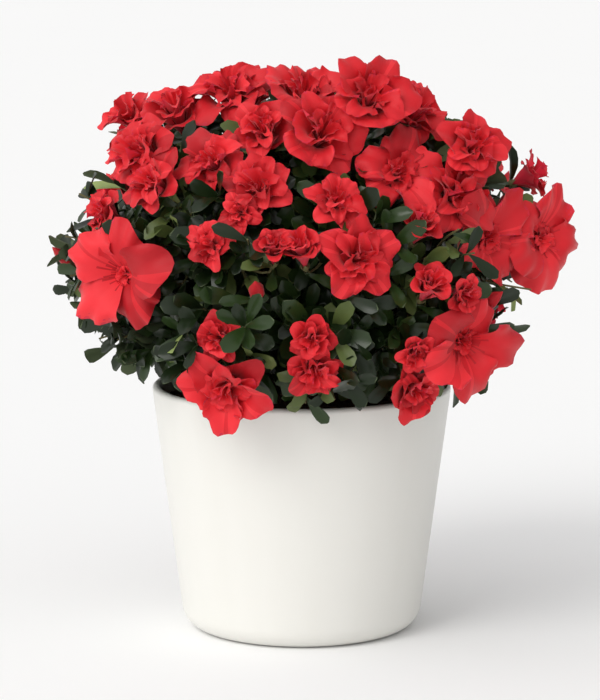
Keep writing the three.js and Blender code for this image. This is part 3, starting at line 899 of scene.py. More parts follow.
@dataclass
class Growth:
    """The seeded rule by which every mass grows its stem and its flowering, budding and leafy shoots.

    Reaches and shells are shares of a mass's own reach. `held_back` pulls in the leafy shells of some
    masses, and `under_blooms` those of the top and the upper ones, which blooms cover.
    """

    plan: Plan
    skeleton: Skeleton
    stem_reach: float = 0.68
    stem_bend: float = 0.45
    stem_radius: float = 1.6
    stem_tip: float = 1.2
    lowest_shell: float = 0.45
    shell_span: float = 0.4
    first_shoot: float = 0.15
    leafy_shells: tuple[float, ...] = (0.93, 0.82, 0.72, 0.62, 0.52)
    leafy_tries: int = 90
    leafy_lean: float = 36
    least_room: float = 1.5
    pot_room: float = 9
    shell_scatter: float = 0.03
    under_blooms: float = 0.82
    held_back: dict[str, float] = field(
        default_factory=lambda: {
            "middle_7": 0.8,
            "middle_8": 0.76,
            "middle_9": 0.82,
            "middle_13": 0.93,
            "low_2": 0.92,
            "low_4": 0.8,
            "low_5": 0.7,
        }
    )
    swing: float = 0.25
    sunward: float = 0.55
    bud_lift: float = 0.9
    opens: float = 1.2
    tested_at: tuple[float, ...] = (0.4, 0.6, 0.8, 1.0)

    def __post_init__(self) -> None:
        """Grows the stems and the shoots of all masses."""
        masses = self.plan.masses
        self.stems = {mass.index: self._stem(mass) for mass in masses}
        self.blooms = Sprigs.joined(self._flowering(mass) for mass in masses)
        self.buds = Sprigs.joined(self._budding(mass, 0, self.opens) for mass in masses)
        self.opening = Sprigs.joined(self._budding(mass, self.opens, math.inf) for mass in masses)
        self.leafy = Sprigs.joined(self._leafy(mass) for mass in masses)

    def prune(self, hides: Callable[[Array], Array]) -> None:
        """Takes out the leafy shoots whose twig would run through a bloom.

        Args:
            hides: tells for sets of points whether any of a set lies in a bloom.
        """
        shares = np.array(self.tested_at)[:, None]
        points = self.leafy.feet[:, None] + (self.leafy.tips - self.leafy.feet)[:, None] * shares
        self.leafy = self.leafy.picked(~hides(points))

    def _stem(self, mass: Mass) -> Curve:
        """A mass's stem: it goes on from its bough's end and bends to the mass's axis.

        Args:
            mass: the mass that it carries.

        Returns:
            The stem's curve. Its control point lies straight on from the bough.
        """
        foot, way = self.skeleton.end_of(mass)
        tip = mass.at(mass.axis, self.stem_reach)
        return foot, foot + way * self.stem_bend * np.linalg.norm(tip - foot), tip

    def _shoots(
        self, mass: Mass, directions: Array, shells: Array, sizes: Array, pull: Array | float = 0
    ) -> Sprigs:
        """Shoots from a mass's stem to points on shells of its reach.

        Args:
            mass: the mass that they belong to.
            directions: where each ends, from the crown's centre.
            shells: the share of the mass's reach at which each ends.
            sizes: the size of what each carries.
            pull: a vector that is added to the way that each faces.

        Returns:
            The shoots. Each faces between its twig's way and outwards.
        """
        tips = mass.at(directions, shells)
        shares = np.clip((shells - self.lowest_shell) / self.shell_span, self.first_shoot, 1)
        feet = bezier(self.stems[mass.index], shares)[0] if len(directions) else tips
        axes = unit(directions + self.swing * (unit(tips - feet) - directions) + pull)
        return Sprigs(feet, tips, axes, np.full(len(directions), mass.index), sizes)

    def _flowering(self, mass: Mass) -> Sprigs:
        """The shoots that end in a mass's blooms.

        Args:
            mass: the mass.

        Returns:
            The shoots. The larger a bloom, the more it turns to the light, as the square of its size.
        """
        sizes, shells = mass.blooms[:, 2], mass.blooms[:, 3]
        pull = self.sunward * sizes[:, None] ** 2 * FRONT
        return self._shoots(mass, mass.towards(mass.blooms), shells, sizes, pull)

    def _budding(self, mass: Mass, least: float, below: float) -> Sprigs:
        """The shoots that end in those of a mass's buds whose size lies between two bounds."""
        buds = mass.buds[(mass.buds[:, 2] >= least) & (mass.buds[:, 2] < below)]
        return self._shoots(mass, mass.towards(buds), buds[:, 3], buds[:, 2], self.bud_lift * UP)

    def _leafy(self, mass: Mass) -> Sprigs:
        """A mass's leafy shoots.

        Args:
            mass: the mass.

        Returns:
            The shoots whose tips lie in the mass's space. The k-th of n is turned by k golden angles and
            leans by the widest lean times the root of its share, over several shells in turn.
        """
        k = np.arange(self.leafy_tries)
        lean = np.radians(self.leafy_lean) * np.sqrt((k + 0.5) / len(k))
        turn = GOLDEN * k + 2 * math.pi * chance(mass.index, 0, Use.SPRIG)
        covered = self.under_blooms if mass.tier in (Tier.TOP, Tier.UPPER) else 1
        shells = np.array(self.leafy_shells)[(k * 2) % len(self.leafy_shells)]
        shells = shells * self.held_back.get(mass.label, covered)
        shells = shells + self.shell_scatter * spread(mass.index, k, Use.SPRIG + 1)
        directions = leaned(np.tile(mass.axis, (len(k), 1)), lean, turn)
        tips = mass.at(directions, shells)
        fits = self.plan.room(mass, tips) > self.least_room
        fits &= self.plan.vessel.clears(tips, self.pot_room)
        return self._shoots(mass, directions[fits], shells[fits], np.ones(fits.sum()))


@dataclass
class Twigs:
    """Stems and twigs: slender tubes from each mass's bough out to every shoot's tip."""

    growth: Growth
    foot_radius: float = 1.0
    tip_radius: float = 0.55
    bend: float = 0.45
    stem_sections: int = 8
    stem_sides: int = 7
    sections: int = 5
    sides: int = 5

    def build(self, palette: Palette) -> bpy.types.Object:
        """Makes the twigs as one piece.

        Args:
            palette: the materials.

        Returns:
            The twigs: tubes along curves that meet each shoot's own way at its tip, and taper to it.
        """
        builder = MeshBuilder()
        growth = self.growth
        stems = list(growth.stems.values())
        shares = np.linspace(0, 1, self.stem_sections)
        paths = bezier(tuple(np.stack(ends) for ends in zip(*stems)), shares)
        radii = growth.stem_radius + (growth.stem_tip - growth.stem_radius) * shares
        corners = tube_corners(paths, np.tile(radii, (len(stems), 1)), self.stem_sides)
        builder.add(corners, tube_faces(self.stem_sections, self.stem_sides), (0, 0))
        shoots = Sprigs.joined([growth.blooms, growth.opening, growth.buds, growth.leafy])
        length = np.linalg.norm(shoots.tips - shoots.feet, axis=-1, keepdims=True)
        bend = shoots.tips - shoots.axes * self.bend * length
        shares = np.linspace(0, 1, self.sections)
        paths = bezier((shoots.feet, bend, shoots.tips), shares)
        radii = np.tile(self.foot_radius + (self.tip_radius - self.foot_radius) * shares, (len(paths), 1))
        corners = tube_corners(paths, radii, self.sides)
        builder.add(corners, tube_faces(self.sections, self.sides), (1, 1))
        return builder.build("twigs", palette.all_of([Paint.BARK, Paint.TWIG]))


# ------------------------------------------------------------------ blossom


@dataclass(frozen=True)
class PetalRing:
    """One ring of a bloom's petals, in shares of the bloom's radius and in radians.

    The opening is the power by which a petal leaves the bloom's axis, and the cup lifts its sides.
    """

    count: int
    radius: float
    height: float
    opening: float
    half_angle: float
    turn: float
    cup: float
    ruffle: float
    curl: float


@dataclass
class Blossom:
    """Double blooms of ruffled petals and pointed buds, over green calyxes.

    A bloom smaller than `whole` stands its petals up by `taller` times the shortfall, and one larger
    than `double_to` has smaller inner rings. Blooms of less than `flat_from` are tilted by chance, and
    the fields named uneven say how far chance moves a value. The measures from `point` to `vein` are in
    shares of a bloom's radius, `bright_to` and `red_to` in shares of the petals, and the painted shade at
    the petals' base in shares of a petal's rows. The petals' tones are the plain red with a lighter and a
    darker copy of it, painted highlight and painted shade dealt at random.
    """

    plan: Plan
    growth: Growth
    radius: float = 26
    thickness: float = 0.4
    outer: Blade = Blade(11, 17, 1.2)
    middle: Blade = Blade(10, 15, 1.2)
    inner: Blade = Blade(8, 9, 1.2)
    rings: tuple[PetalRing, ...] = (
        PetalRing(5, 1.00, 0.82, 1.25, 0.86, 0.0, 0.03, 0.18, 0.52),
        PetalRing(5, 0.78, 0.92, 1.40, 0.76, 0.63, 0.08, 0.18, 0.42),
        PetalRing(4, 0.50, 0.96, 1.5, 0.74, 0.2, 0.10, 0.16, 0.15),
        PetalRing(3, 0.26, 0.86, 1.5, 0.80, 0.9, 0.12, 0.14, 0.0),
    )
    rise: dict[Tier, float] = field(
        default_factory=lambda: {Tier.TOP: 1.1, Tier.UPPER: 1.25, Tier.MIDDLE: 1.0, Tier.LOW: 1.2}
    )
    whole: float = 0.88
    taller: float = 0.9
    flattest: float = 0.75
    furled: float = 2.2
    opening_share: float = 0.3
    double_to: float = 0.96
    least_double: float = 0.3
    tilt: float = 16
    flat_from: float = 1.08
    uneven_height: float = 0.12
    uneven_double: float = 0.25
    bowl_height: float = 0.7
    bowl_width: float = 0.94
    bowl_spans: tuple[float, float] = (0.1, 1.2)
    open_front: float = 28
    point: float = 0.13
    rounding: float = 0.34
    frill: float = 0.08
    midrib: float = 0.04
    vein: float = 0.005
    # The share of a petal's columns that swap the plain red and the lighter red of painted highlight, as
    # streaks.
    streaked: float = 0.12
    # Shares of petals: up to the first the lighter red of painted highlight, up to the second the plain
    # red, the rest the darker red of painted shade.
    bright_to: float = 0.27
    red_to: float = 0.88
    # How far up the petals from the base the painted shade of the throat runs, in shares of the rows.
    deep_base: float = 0.08
    deep_more: float = 0.24
    paints: tuple[Paint, ...] = (
        Paint.PETAL,
        Paint.PETAL_BRIGHT,
        Paint.PETAL_DEEP,
        Paint.THROAT,
        Paint.TWIG,
        Paint.PETAL_BACK,
    )
    bud_length: float = 22
    bud_radius: float = 5.6
    bud_ridge: float = 0.13
    bud_wind: float = 4.5
    bud_sections: int = 9
    calyx: tuple[tuple[float, float], ...] = ((0.5, -3.0), (1.6, -1.2), (2.7, 1.0), (2.9, 3.2))
    calyx_point: float = 1.6
    sides: int = 10

    def __post_init__(self) -> None:
        """Works out how large, how upright, how double and how tilted each bloom is."""
        blooms, opening = self.growth.blooms, self.growth.opening
        key = np.arange(len(blooms.size) + len(opening.size))
        rise = np.array([self.rise[self.plan.masses[index].tier] for index in blooms.mass])
        rise = np.maximum(rise * (1 + self.taller * (self.whole - blooms.size)), self.flattest)
        self.upright = np.concatenate([rise, np.full(len(opening.size), self.furled)])
        self.upright *= 1 + self.uneven_height * spread(key, 1, Use.BLOOM)
        self.sizes = np.concatenate([blooms.size, self.opening_share * opening.size])
        fullness = 1 - 2 * (self.sizes - self.double_to) - self.uneven_double * chance(key, 4, Use.BLOOM)
        self.fullness = np.clip(fullness, self.least_double, 1.0)
        lean = math.radians(self.tilt) * chance(key, 2, Use.BLOOM) * (self.sizes < self.flat_from)
        heads = Sprigs.joined([blooms, opening])
        axes = leaned(heads.axes, lean, 2 * math.pi * chance(key, 3, Use.BLOOM))
        self.heads = replace(heads, axes=axes)

    def hides(self, points: Array) -> Array:
        """Whether points lie in or just before a bloom, where no leaf may be.

        A bloom's bowl is a cone that widens with the share of the rim's height to just under its radius,
        and goes on before the rim by a set depth.

        Args:
            points: an array of leaves by sample points by three.

        Returns:
            One truth value for each leaf.
        """
        blooms, reach = self.heads, self.sizes * self.radius
        away = points[:, :, None] - blooms.tips
        along = np.sum(away * blooms.axes, -1)
        beside = np.linalg.norm(away - along[..., None] * blooms.axes, axis=-1)
        rim = self.bowl_height * reach * self.upright
        lowest, highest = self.bowl_spans
        in_bowl = (along > lowest * rim) & (along < highest * rim + self.open_front)
        in_bowl &= beside < reach * np.clip(along / rim, 0, 1) * self.bowl_width
        return in_bowl.any((1, 2))

    def petals(self, ring: PetalRing, blade: Blade) -> Array:
        """The middle surfaces of one ring's petals on every bloom.

        A petal is a lobe of a funnel. Its points stand off the bloom's axis by a distance that grows as
        the share along it to a power, and are turned by the share of its width times a half angle, which
        widens from the base as a sine. Its ruffles stand square to it. The inner rings are smaller on
        the large blooms.

        Args:
            ring: the ring's sizes.
            blade: the grid that the petals are made on.

        Returns:
            An array of petals by rows by columns by three.
        """
        bloom = np.repeat(np.arange(len(self.sizes)), ring.count)
        petal = np.tile(np.arange(ring.count), len(self.sizes))
        order = self.rings.index(ring)

        def draw(use: int) -> Array:
            """A number from -1 to 1 for each petal."""
            return spread(bloom, 100 * order + petal, Use.PETAL + use)[:, None, None]

        v, u = blade.along[None], blade.aside[None]
        upright = self.upright[bloom][:, None, None]
        fullness = self.fullness[bloom] if order else 1
        size = (self.sizes[bloom] * self.radius * fullness)[:, None, None] * (1 + 0.10 * draw(1))
        frill = (np.sin(11 * u + 4 * draw(9)) + 0.5 * np.sin(5 * u + 5 * draw(12))) * v**4
        wave = ring.ruffle * self._ruffles(v, u, frill, draw)
        pitch = np.arctan2(ring.height * upright, ring.radius)
        opened = 0.06 + 0.94 * v ** (ring.opening * (1 + 0.12 * draw(2)))
        distance = ring.radius * opened * self._margin(v, u, frill)
        distance = size * np.maximum(distance - wave * np.sin(pitch), 0.03)
        wrap = 1 + 0.25 * np.maximum(upright - 1, 0) + 0.08 * draw(4)
        widening = (0.7 + 0.3 * np.sin(math.pi / 2 * np.minimum(1.2 * v, 1))) * (1 - 0.1 * v**6)
        turn = 2 * math.pi * petal[:, None, None] / ring.count + ring.turn
        turn = turn + 2 * math.pi * chance(bloom, 0, Use.BLOOM + 1)[:, None, None]
        angle = turn + 0.15 * draw(5) + u * ring.half_angle * wrap * widening
        height = self._height(ring, v, u, upright, draw) + wave * np.cos(pitch)
        local = np.stack([distance * np.cos(angle), distance * np.sin(angle), size * height], -1)
        return self._in_place(local, self.heads, bloom)

    def _margin(self, v: Array, u: Array, frill: Array) -> Array:
        """The share of its reach that a petal has: an arc with a small point, and frilled.

        Args:
            v: the share along the petal.
            u: the share of its half width.
            frill: short waves of the margin.

        Returns:
            One, less the rounding times |u|^2.2 v^2, plus a point that falls off on both sides, plus
            the frill.
        """
        point = self.point * np.clip(1 - 2 * np.abs(u), 0, 1) * v**5
        return 1 - self.rounding * np.abs(u) ** 2.2 * v**2 + point + self.frill * frill

    @staticmethod
    def _ruffles(v: Array, u: Array, frill: Array, draw: Callable[[int], Array]) -> Array:
        """The ruffles of a petal: waves down its sides, long waves along its end, and the frill.

        Args:
            v: the share along the petal.
            u: the share of its half width.
            frill: short waves of the margin.
            draw: gives a number from -1 to 1 for each petal.

        Returns:
            The sum of the three, which grows from the base as v^1.4.
        """
        sides = np.sin(6.5 * v + 3 * draw(7) + 1.7 * np.sign(u)) * np.abs(u) ** 1.6 * (1 - 0.6 * v**5)
        end = np.sin(3.6 * u + 3 * draw(8)) * v**3
        return v**1.4 * (0.8 * sides + 0.7 * end + 0.45 * frill)

    def _height(
        self, ring: PetalRing, v: Array, u: Array, upright: Array, draw: Callable[[int], Array]
    ) -> Array:
        """The height of a petal over its base, before its ruffles.

        It rises as 1 - (1 - v)^1.6, and curls back past the middle as the square of the rest. The sides
        are cupped as u squared, one lies over the next petal, the midrib is a groove, and veins wave.

        Args:
            ring: the ring's sizes.
            v: the share along the petal.
            u: the share of its half width.
            upright: a factor on the height for each petal.
            draw: gives a number from -1 to 1 for each petal.

        Returns:
            An array of petals by rows by columns.
        """
        rise = ring.height * upright * (1 + 0.15 * draw(6)) * (1 - (1 - v) ** 1.6)
        curl = ring.curl / upright**2 * np.clip(v - 0.5, 0, 1) ** 2 * (1.4 + 0.9 * draw(10))
        skew = (0.08 + 0.07 * draw(11)) * u
        groove = self.midrib * np.exp(-((u / 0.16) ** 2)) * (1 - v**3)
        fold = (ring.cup + 0.07 * draw(3)) * u**2 - groove
        veins = self.vein * np.cos(15 * u + 2 * draw(13)) * v * (1 - 0.5 * v)
        return rise + (skew + fold) * v + veins - curl

    @staticmethod
    def _in_place(local: Array, sprigs: Sprigs, which: Array) -> Array:
        """Carries shapes about +Z onto the heads of shoots.

        Args:
            local: the shapes' points, as an array of shapes by any grid by three.
            sprigs: the shoots.
            which: the number of each shape's shoot.

        Returns:
            The points, turned into each shoot's own frame and moved to its tip.
        """
        level, rise = across(sprigs.axes)
        frames = np.stack([level, rise, sprigs.axes], 1)[which]
        flat = local.reshape(len(local), -1, 3) @ frames
        return flat.reshape(local.shape) + sprigs.tips[which].reshape(-1, *(1,) * (local.ndim - 2), 3)

    def _tones(self, petals: int, ring: int, blade: Blade) -> tuple[Array, Array]:
        """The materials of a ring's upper and lower faces: a tone for each petal, with streaks along it.

        Args:
            petals: how many petals the ring has on all blooms together.
            ring: the ring's number, counted inwards.
            blade: the grid that the petals are made on.

        Returns:
            Two arrays of petals by faces. From the base a painted shade of the throat runs up by uneven
            lengths.
        """
        red, bright, deep, throat, back = (
            self.paints.index(paint)
            for paint in (Paint.PETAL, Paint.PETAL_BRIGHT, Paint.PETAL_DEEP, Paint.THROAT, Paint.PETAL_BACK)
        )
        draw = chance(np.arange(petals), ring, Use.TONE)
        # Each petal takes the plain red, the lighter red of painted highlight or the darker red of painted
        # shade, at random.
        tone = np.select([draw < self.bright_to, draw < self.red_to], [bright, red], deep)[:, None]
        row, column = np.divmod(np.arange((blade.rows - 1) * (blade.columns - 1)), blade.columns - 1)
        streak, depth = (
            chance(np.arange(petals)[:, None], column, Use.TONE + 1 + ring + use) for use in (0, 4)
        )
        # Streaks along the petal swap the plain red and the lighter red of painted highlight.
        upper = np.where(streak < self.streaked, np.where(tone == red, bright, red), tone)
        # Painted shade at the petal's base, deep in the bloom: the throat's shade on the inner rings, the
        # darker red on the outer.
        shaded_base = row < blade.rows * (self.deep_base + self.deep_more * depth**2)
        upper = np.where(shaded_base, throat if ring else deep, upper)
        # The lower faces take the pinker back, and the darker red of painted shade on the darker petals.
        return upper, np.where(tone == deep, deep, back)

    def build(self, palette: Palette) -> list[bpy.types.Object]:
        """Makes the petals of the outer, the middle and the inner rings, and the buds.

        Args:
            palette: the materials.

        Returns:
            The four pieces.
        """
        pieces = []
        for name, rings, blade in (
            ("petals_outer", self.rings[:1], self.outer),
            ("petals_middle", self.rings[1:2], self.middle),
            ("petals_inner", self.rings[2:], self.inner),
        ):
            builder = MeshBuilder()
            for ring in rings:
                surfaces = self.petals(ring, blade)
                tones = self._tones(len(surfaces), self.rings.index(ring), blade)
                builder.add(blade.corners(surfaces, self.thickness), blade.faces(), tones)
            pieces.append(builder.build(name, palette.all_of(self.paints)))
        pieces.append(self._buds(palette))
        return pieces

    def _buds(self, palette: Palette) -> bpy.types.Object:
        """Makes the buds and the calyxes.

        A bud is a spindle: its radius is a power of the sine of the share along it, times five ridges
        of furled petals that wind up it.

        Args:
            palette: the materials.

        Returns:
            The piece.
        """
        buds = self.growth.buds
        count = len(buds.size)
        v = np.linspace(0, 1, self.bud_sections)[:, None]
        angle = self._round()
        swell = np.sin(math.pi * np.clip(v, 0.02, 0.985) ** 0.72) ** 0.85
        radius = self.bud_radius * swell * (1 + self.bud_ridge * np.cos(5 * angle - self.bud_wind * v))
        height = v * self.bud_length + 0 * angle
        local = np.stack([radius * np.cos(angle), radius * np.sin(angle), height], -1)
        corners = self._in_place(local[None] * buds.size[:, None, None, None], buds, np.arange(count))
        # The buds are all in the deep red, the same copy that paints shade on the petals.
        slots = (self.paints.index(Paint.PETAL_DEEP),) * 2
        builder = MeshBuilder()
        builder.add(corners.reshape(count, -1, 3), tube_faces(self.bud_sections, self.sides), slots)
        self._add_calyxes(builder)
        return builder.build("buds", palette.all_of(self.paints))

    def _round(self) -> Array:
        """The angles of the corners round a bud or a calyx."""
        return (2 * math.pi * np.arange(self.sides) / self.sides)[None]

    def _add_calyxes(self, builder: MeshBuilder) -> None:
        """Adds a small green cup with five points under every bloom and bud.

        Args:
            builder: the mesh that they become part of.
        """
        heads = Sprigs.joined([self.heads, self.growth.buds])
        count, rings = len(heads.tips), np.array(self.calyx)
        angle = self._round()
        is_rim = np.arange(len(rings))[:, None] == len(rings) - 1
        height = rings[:, 1:] + self.calyx_point * np.cos(5 * angle) * is_rim
        radius = rings[:, :1] + 0 * angle
        local = np.stack([radius * np.cos(angle), radius * np.sin(angle), height], -1)
        corners = self._in_place(np.repeat(local[None], count, 0), heads, np.arange(count))
        slots = (self.paints.index(Paint.TWIG),) * 2
        builder.add(corners.reshape(count, -1, 3), tube_faces(len(rings), self.sides), slots)


# ------------------------------------------------------------------ leaves


@dataclass(frozen=True)
class Whorl:
    """How leaves stand round a shoot: how many, and the lowest's and the highest's rise off square to it.

    The rises are in degrees. The key keeps one set's chances apart from the others'.
    """

    count: int
    low: float
    high: float
    key: int


@dataclass
class Foliage:
    """Glossy spoon-shaped leaves in whorls along every shoot, with pale undersides.

    `hanging` holds the reach and the lowest height of the masses whose leaves hang over the pot's rim. A
    leaf springs up from its root before it arches down. The fields named uneven say how far chance moves
    a value, in degrees for the rise and as a share for the others.
    """

    plan: Plan
    growth: Growth
    blossom: Blossom
    length: float = 23.0
    width: float = 8.8
    sunward: float = 0.25
    thickness: float = 0.45
    reach: float = 0.99
    lowest: float = 134
    hanging: dict[str, tuple[float, float]] = field(
        default_factory=lambda: {"low_2": (1.03, 110), "low_3": (0.99, 126), "low_4": (1.02, 126)}
    )
    pot_room: float = 2.5
    overlap: float = 5
    tested_at: tuple[float, ...] = (0.45, 0.75, 1.0)
    fold: float = 0.28
    uneven_fold: float = 0.12
    arch: float = 0.16
    uneven_arch: float = 0.14
    spring: float = 0.08
    wave: float = 0.35
    uneven_rise: float = 14
    uneven_size: float = 0.2
    at_tip: Whorl = Whorl(7, 12, 66, 1)
    half_way: Whorl = Whorl(4, 20, 60, 4)
    under_bloom: Whorl = Whorl(6, 2, 30, 2)
    under_bud: Whorl = Whorl(6, 5, 50, 3)
    under_opening: Whorl = Whorl(6, 5, 40, 5)
    half_way_share: float = 0.58
    spacing: float = 1.7
    tone_steps: tuple[float, float, float] = (0.48, 0.76, 0.90)
    blade: Blade = Blade(6, 5)
    paints: tuple[Paint, ...] = (
        Paint.LEAF_DARK,
        Paint.LEAF_MID,
        Paint.LEAF_OLIVE,
        Paint.LEAF_YOUNG,
        Paint.LEAF_UNDER,
    )

    def _whorls(self, sprigs: Sprigs, whorl: Whorl) -> dict[str, Array]:
        """The leaves of shoots: each a golden angle on from the last, the highest nearest the shoot's way.

        Args:
            sprigs: the shoots that carry them.
            whorl: how they stand on each.

        Returns:
            Arrays of roots, ways, faces (the upper side's direction), sizes, masses and shoot numbers.
        """
        shoot = np.repeat(np.arange(len(sprigs.tips)), whorl.count)
        order = np.tile(np.arange(whorl.count), len(sprigs.tips))
        axis = sprigs.axes[shoot]
        item = shoot * 16 + order
        share = order / max(whorl.count - 1, 1)
        rise = whorl.high + (whorl.low - whorl.high) * share
        rise = rise + self.uneven_rise * spread(whorl.key, item, Use.LEAF)
        turn = GOLDEN * order + 2 * math.pi * chance(whorl.key, shoot, Use.LEAF + 1)
        way = leaned(axis, math.pi / 2 - np.radians(rise), turn)
        face = unit(axis - way * np.sum(axis * way, -1, keepdims=True))
        swell = 0.78 + 0.3 * np.sin(math.pi * np.clip(share + 0.15, 0, 1))
        return {
            "root": sprigs.tips[shoot] - axis * (self.spacing * order)[:, None],
            "way": way,
            "face": unit(face + self.sunward * (UP + FRONT)),
            "size": swell * (1 + self.uneven_size * spread(whorl.key, item, Use.LEAF + 2)),
            "mass": sprigs.mass[shoot],
            "shoot": shoot,
        }

    def _kept(self, leaves: dict[str, Array]) -> dict[str, Array]:
        """The leaves that stay in their mass's space, out of the blooms, and clear of the pot.

        Args:
            leaves: the arrays of all leaves.

        Returns:
            The same arrays for those that stay. Each leaf is tested at three points along it.
        """
        shares = np.array(self.tested_at)
        reach = (self.length * leaves["size"])[:, None, None] * shares[None, :, None]
        points = leaves["root"][:, None] + leaves["way"][:, None] * reach
        keep = ~self.blossom.hides(points) & self.plan.vessel.clears(points, self.pot_room).all(1)
        out = points - self.plan.crown.centre
        for mass in self.plan.masses:
            mine = leaves["mass"] == mass.index
            reach, lowest = self.hanging.get(mass.label, (self.reach, self.lowest))
            limit = reach * mass.stretch * self.plan.crown.reach(unit(out[mine]))
            keep[mine] &= (np.linalg.norm(out[mine], axis=-1) < limit).all(1)
            keep[mine] &= (self.plan.room(mass, points[mine]) > -self.overlap).all(1)
            keep[mine] &= (points[mine, :, 2] > lowest).all(1)
        return {name: values[keep] for name, values in leaves.items()}

    def surfaces(self, leaves: dict[str, Array]) -> Array:
        """The middle surfaces of leaves.

        A leaf is spoon-shaped: its half width is its length's share, times the root of one less a high
        power of the share, so that it is widest well past the middle and blunt. Its halves rise from the
        midrib, its margin waves a little, and it arches down as the square of the share.

        Args:
            leaves: the arrays that say where each leaf is.

        Returns:
            An array of leaves by rows by columns by three.
        """
        v, u = self.blade.along[None], self.blade.aside[None]
        size = leaves["size"][:, None, None]
        key = np.arange(len(leaves["size"]))
        draws = [spread(key, 7, Use.LEAF + use)[:, None, None] for use in (3, 4, 5, 6)]
        outline = 0.10 + 1.55 * v * np.sqrt(1.003 - v**3.4)
        half = self.width / 2 * size * outline * (1 + 0.15 * draws[0])
        side = -u * half
        along = self.length * size * v
        fold = (self.fold + self.uneven_fold * draws[1]) * np.abs(side)
        arch = self.length * size * ((self.arch + self.uneven_arch * draws[2]) * v**2 - self.spring * v)
        wave = self.wave * np.sin(9 * v + 5 * draws[3]) * np.abs(u)
        lift = fold - arch + wave
        way, face = leaves["way"], leaves["face"]
        face = unit(face - way * np.sum(face * way, -1, keepdims=True))
        aside = np.cross(way, face)
        terms = ((side, aside), (along, way), (lift, face))
        return leaves["root"][:, None, None] + sum(a[..., None] * b[:, None, None] for a, b in terms)

    def _tones(self, leaves: dict[str, Array]) -> Array:
        """A green for each leaf, dealt mostly by its shoot: many dark, some fresher, a few shoots young.

        Args:
            leaves: the arrays of the leaves.

        Returns:
            The number of each leaf's material.
        """
        shoot, mass = leaves["shoot"], leaves["mass"]
        of_shoot = chance(mass, shoot, Use.LEAF + 7)
        own = chance(shoot, np.arange(len(shoot)), Use.LEAF + 8)
        return np.searchsorted(self.tone_steps, 0.65 * of_shoot + 0.35 * own, side="right")

    def build(self, palette: Palette) -> list[bpy.types.Object]:
        """Makes the leaves, one piece for each tier of masses. The top mass's go with the upper ones.

        Args:
            palette: the materials.

        Returns:
            The three pieces.
        """
        growth = self.growth
        share = self.half_way_share
        leafy = growth.leafy
        half_way = replace(leafy, tips=leafy.feet + share * (leafy.tips - leafy.feet))
        sets = [
            self._kept(self._whorls(sprigs, whorl))
            for sprigs, whorl in (
                (leafy, self.at_tip),
                (half_way, self.half_way),
                (growth.blooms, self.under_bloom),
                (growth.buds, self.under_bud),
                (growth.opening, self.under_opening),
            )
        ]
        leaves = {name: np.concatenate([part[name] for part in sets]) for name in sets[0]}
        tones = self._tones(leaves)
        under = self.paints.index(Paint.LEAF_UNDER)
        pieces = []
        for label, tiers in (
            ("upper", (Tier.UPPER, Tier.TOP)),
            ("middle", (Tier.MIDDLE,)),
            ("low", (Tier.LOW,)),
        ):
            masses = [mass for mass in self.plan.masses if mass.tier in tiers]
            mine = np.isin(leaves["mass"], [mass.index for mass in masses])
            part = {name: values[mine] for name, values in leaves.items()}
            builder = MeshBuilder()
            corners = self.blade.corners(self.surfaces(part), self.thickness)
            builder.add(corners, self.blade.faces(), (tones[mine], under))
            piece = builder.build(f"leaves_{label}", palette.all_of(self.paints))
            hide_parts(*[f"foliage_{mass.label}" for mass in masses])
            log.info("%s: %d leaves", piece.name, len(part["size"]))
            pieces.append(piece)
        return pieces


# ------------------------------------------------------------------ pot and soil


def arc(centre: tuple[float, float], radius: float, turn: tuple[float, float], steps: int) -> Array:
    """Points of an arc in a section, at even steps from the first angle to the last.

    Args:
        centre: its middle, as radius and height.
        radius: its own radius.
        turn: the first and the last angle, in radians.
        steps: how many points it has.

    Returns:
        An array of points by radius and height.
    """
    angle = np.linspace(*turn, steps)
    return np.stack([centre[0] + radius * np.cos(angle), centre[1] + radius * np.sin(angle)], -1)


@dataclass
class Pot:
    """The glazed pot: a tapered wall with a rolled rim, a rounded foot and an open inside."""

    vessel: Vessel
    sides: int = 192
    pole: float = 0.5
    underside: float = 30
    inner_share: float = 0.8
    foot_steps: int = 12
    wall_steps: int = 12
    rim_steps: int = 8
    inner_steps: int = 6
    rim_back: float = 0.2

    def profile(self) -> Array:
        """The wall's section: foot arc, outer wall, rim roll, inner wall and floor.

        Returns:
            An array of points by radius and height, from the underside's middle to the floor's.
        """
        pot = self.vessel
        lean = math.atan((pot.rim_radius - pot.foot_radius) / pot.height)
        foot_x = pot.radius(pot.foot_round) - pot.foot_round / math.cos(lean)
        rim_z = pot.height - pot.rim_round
        rim_x = pot.radius(rim_z) - pot.rim_round / math.cos(lean)
        inner_x = rim_x - (pot.wall - 2 * pot.rim_round)
        inner_round = self.inner_share * pot.foot_round
        inner_foot = pot.radius(pot.floor + pot.foot_round) - pot.wall - inner_round
        wall_z = np.linspace(pot.foot_round * 1.1, rim_z - pot.rim_round, self.wall_steps)
        quarter = math.pi / 2
        return np.concatenate([
            [[self.pole, 0.0], [self.underside, 0.0]],
            arc((foot_x, pot.foot_round), pot.foot_round, (-quarter, -lean), self.foot_steps),
            np.stack([pot.radius(wall_z), wall_z], -1),
            arc((rim_x, rim_z), pot.rim_round, (-lean, quarter), self.rim_steps),
            arc((inner_x, rim_z), pot.rim_round, (quarter + self.rim_back, math.pi), self.inner_steps),
            arc((inner_foot, pot.floor + inner_round), inner_round, (0, -quarter), self.inner_steps),
            [[self.pole, pot.floor]],
        ])

    def build(self, palette: Palette) -> bpy.types.Object:
        """Makes the pot as one turned piece.

        Args:
            palette: the materials.

        Returns:
            The pot.
        """
        profile = self.profile()
        builder = MeshBuilder()
        builder.add(turned_corners(profile, self.sides), tube_faces(len(profile), self.sides), (0, 0))
        return builder.build("pot_glazed", [palette[Paint.GLAZE]])


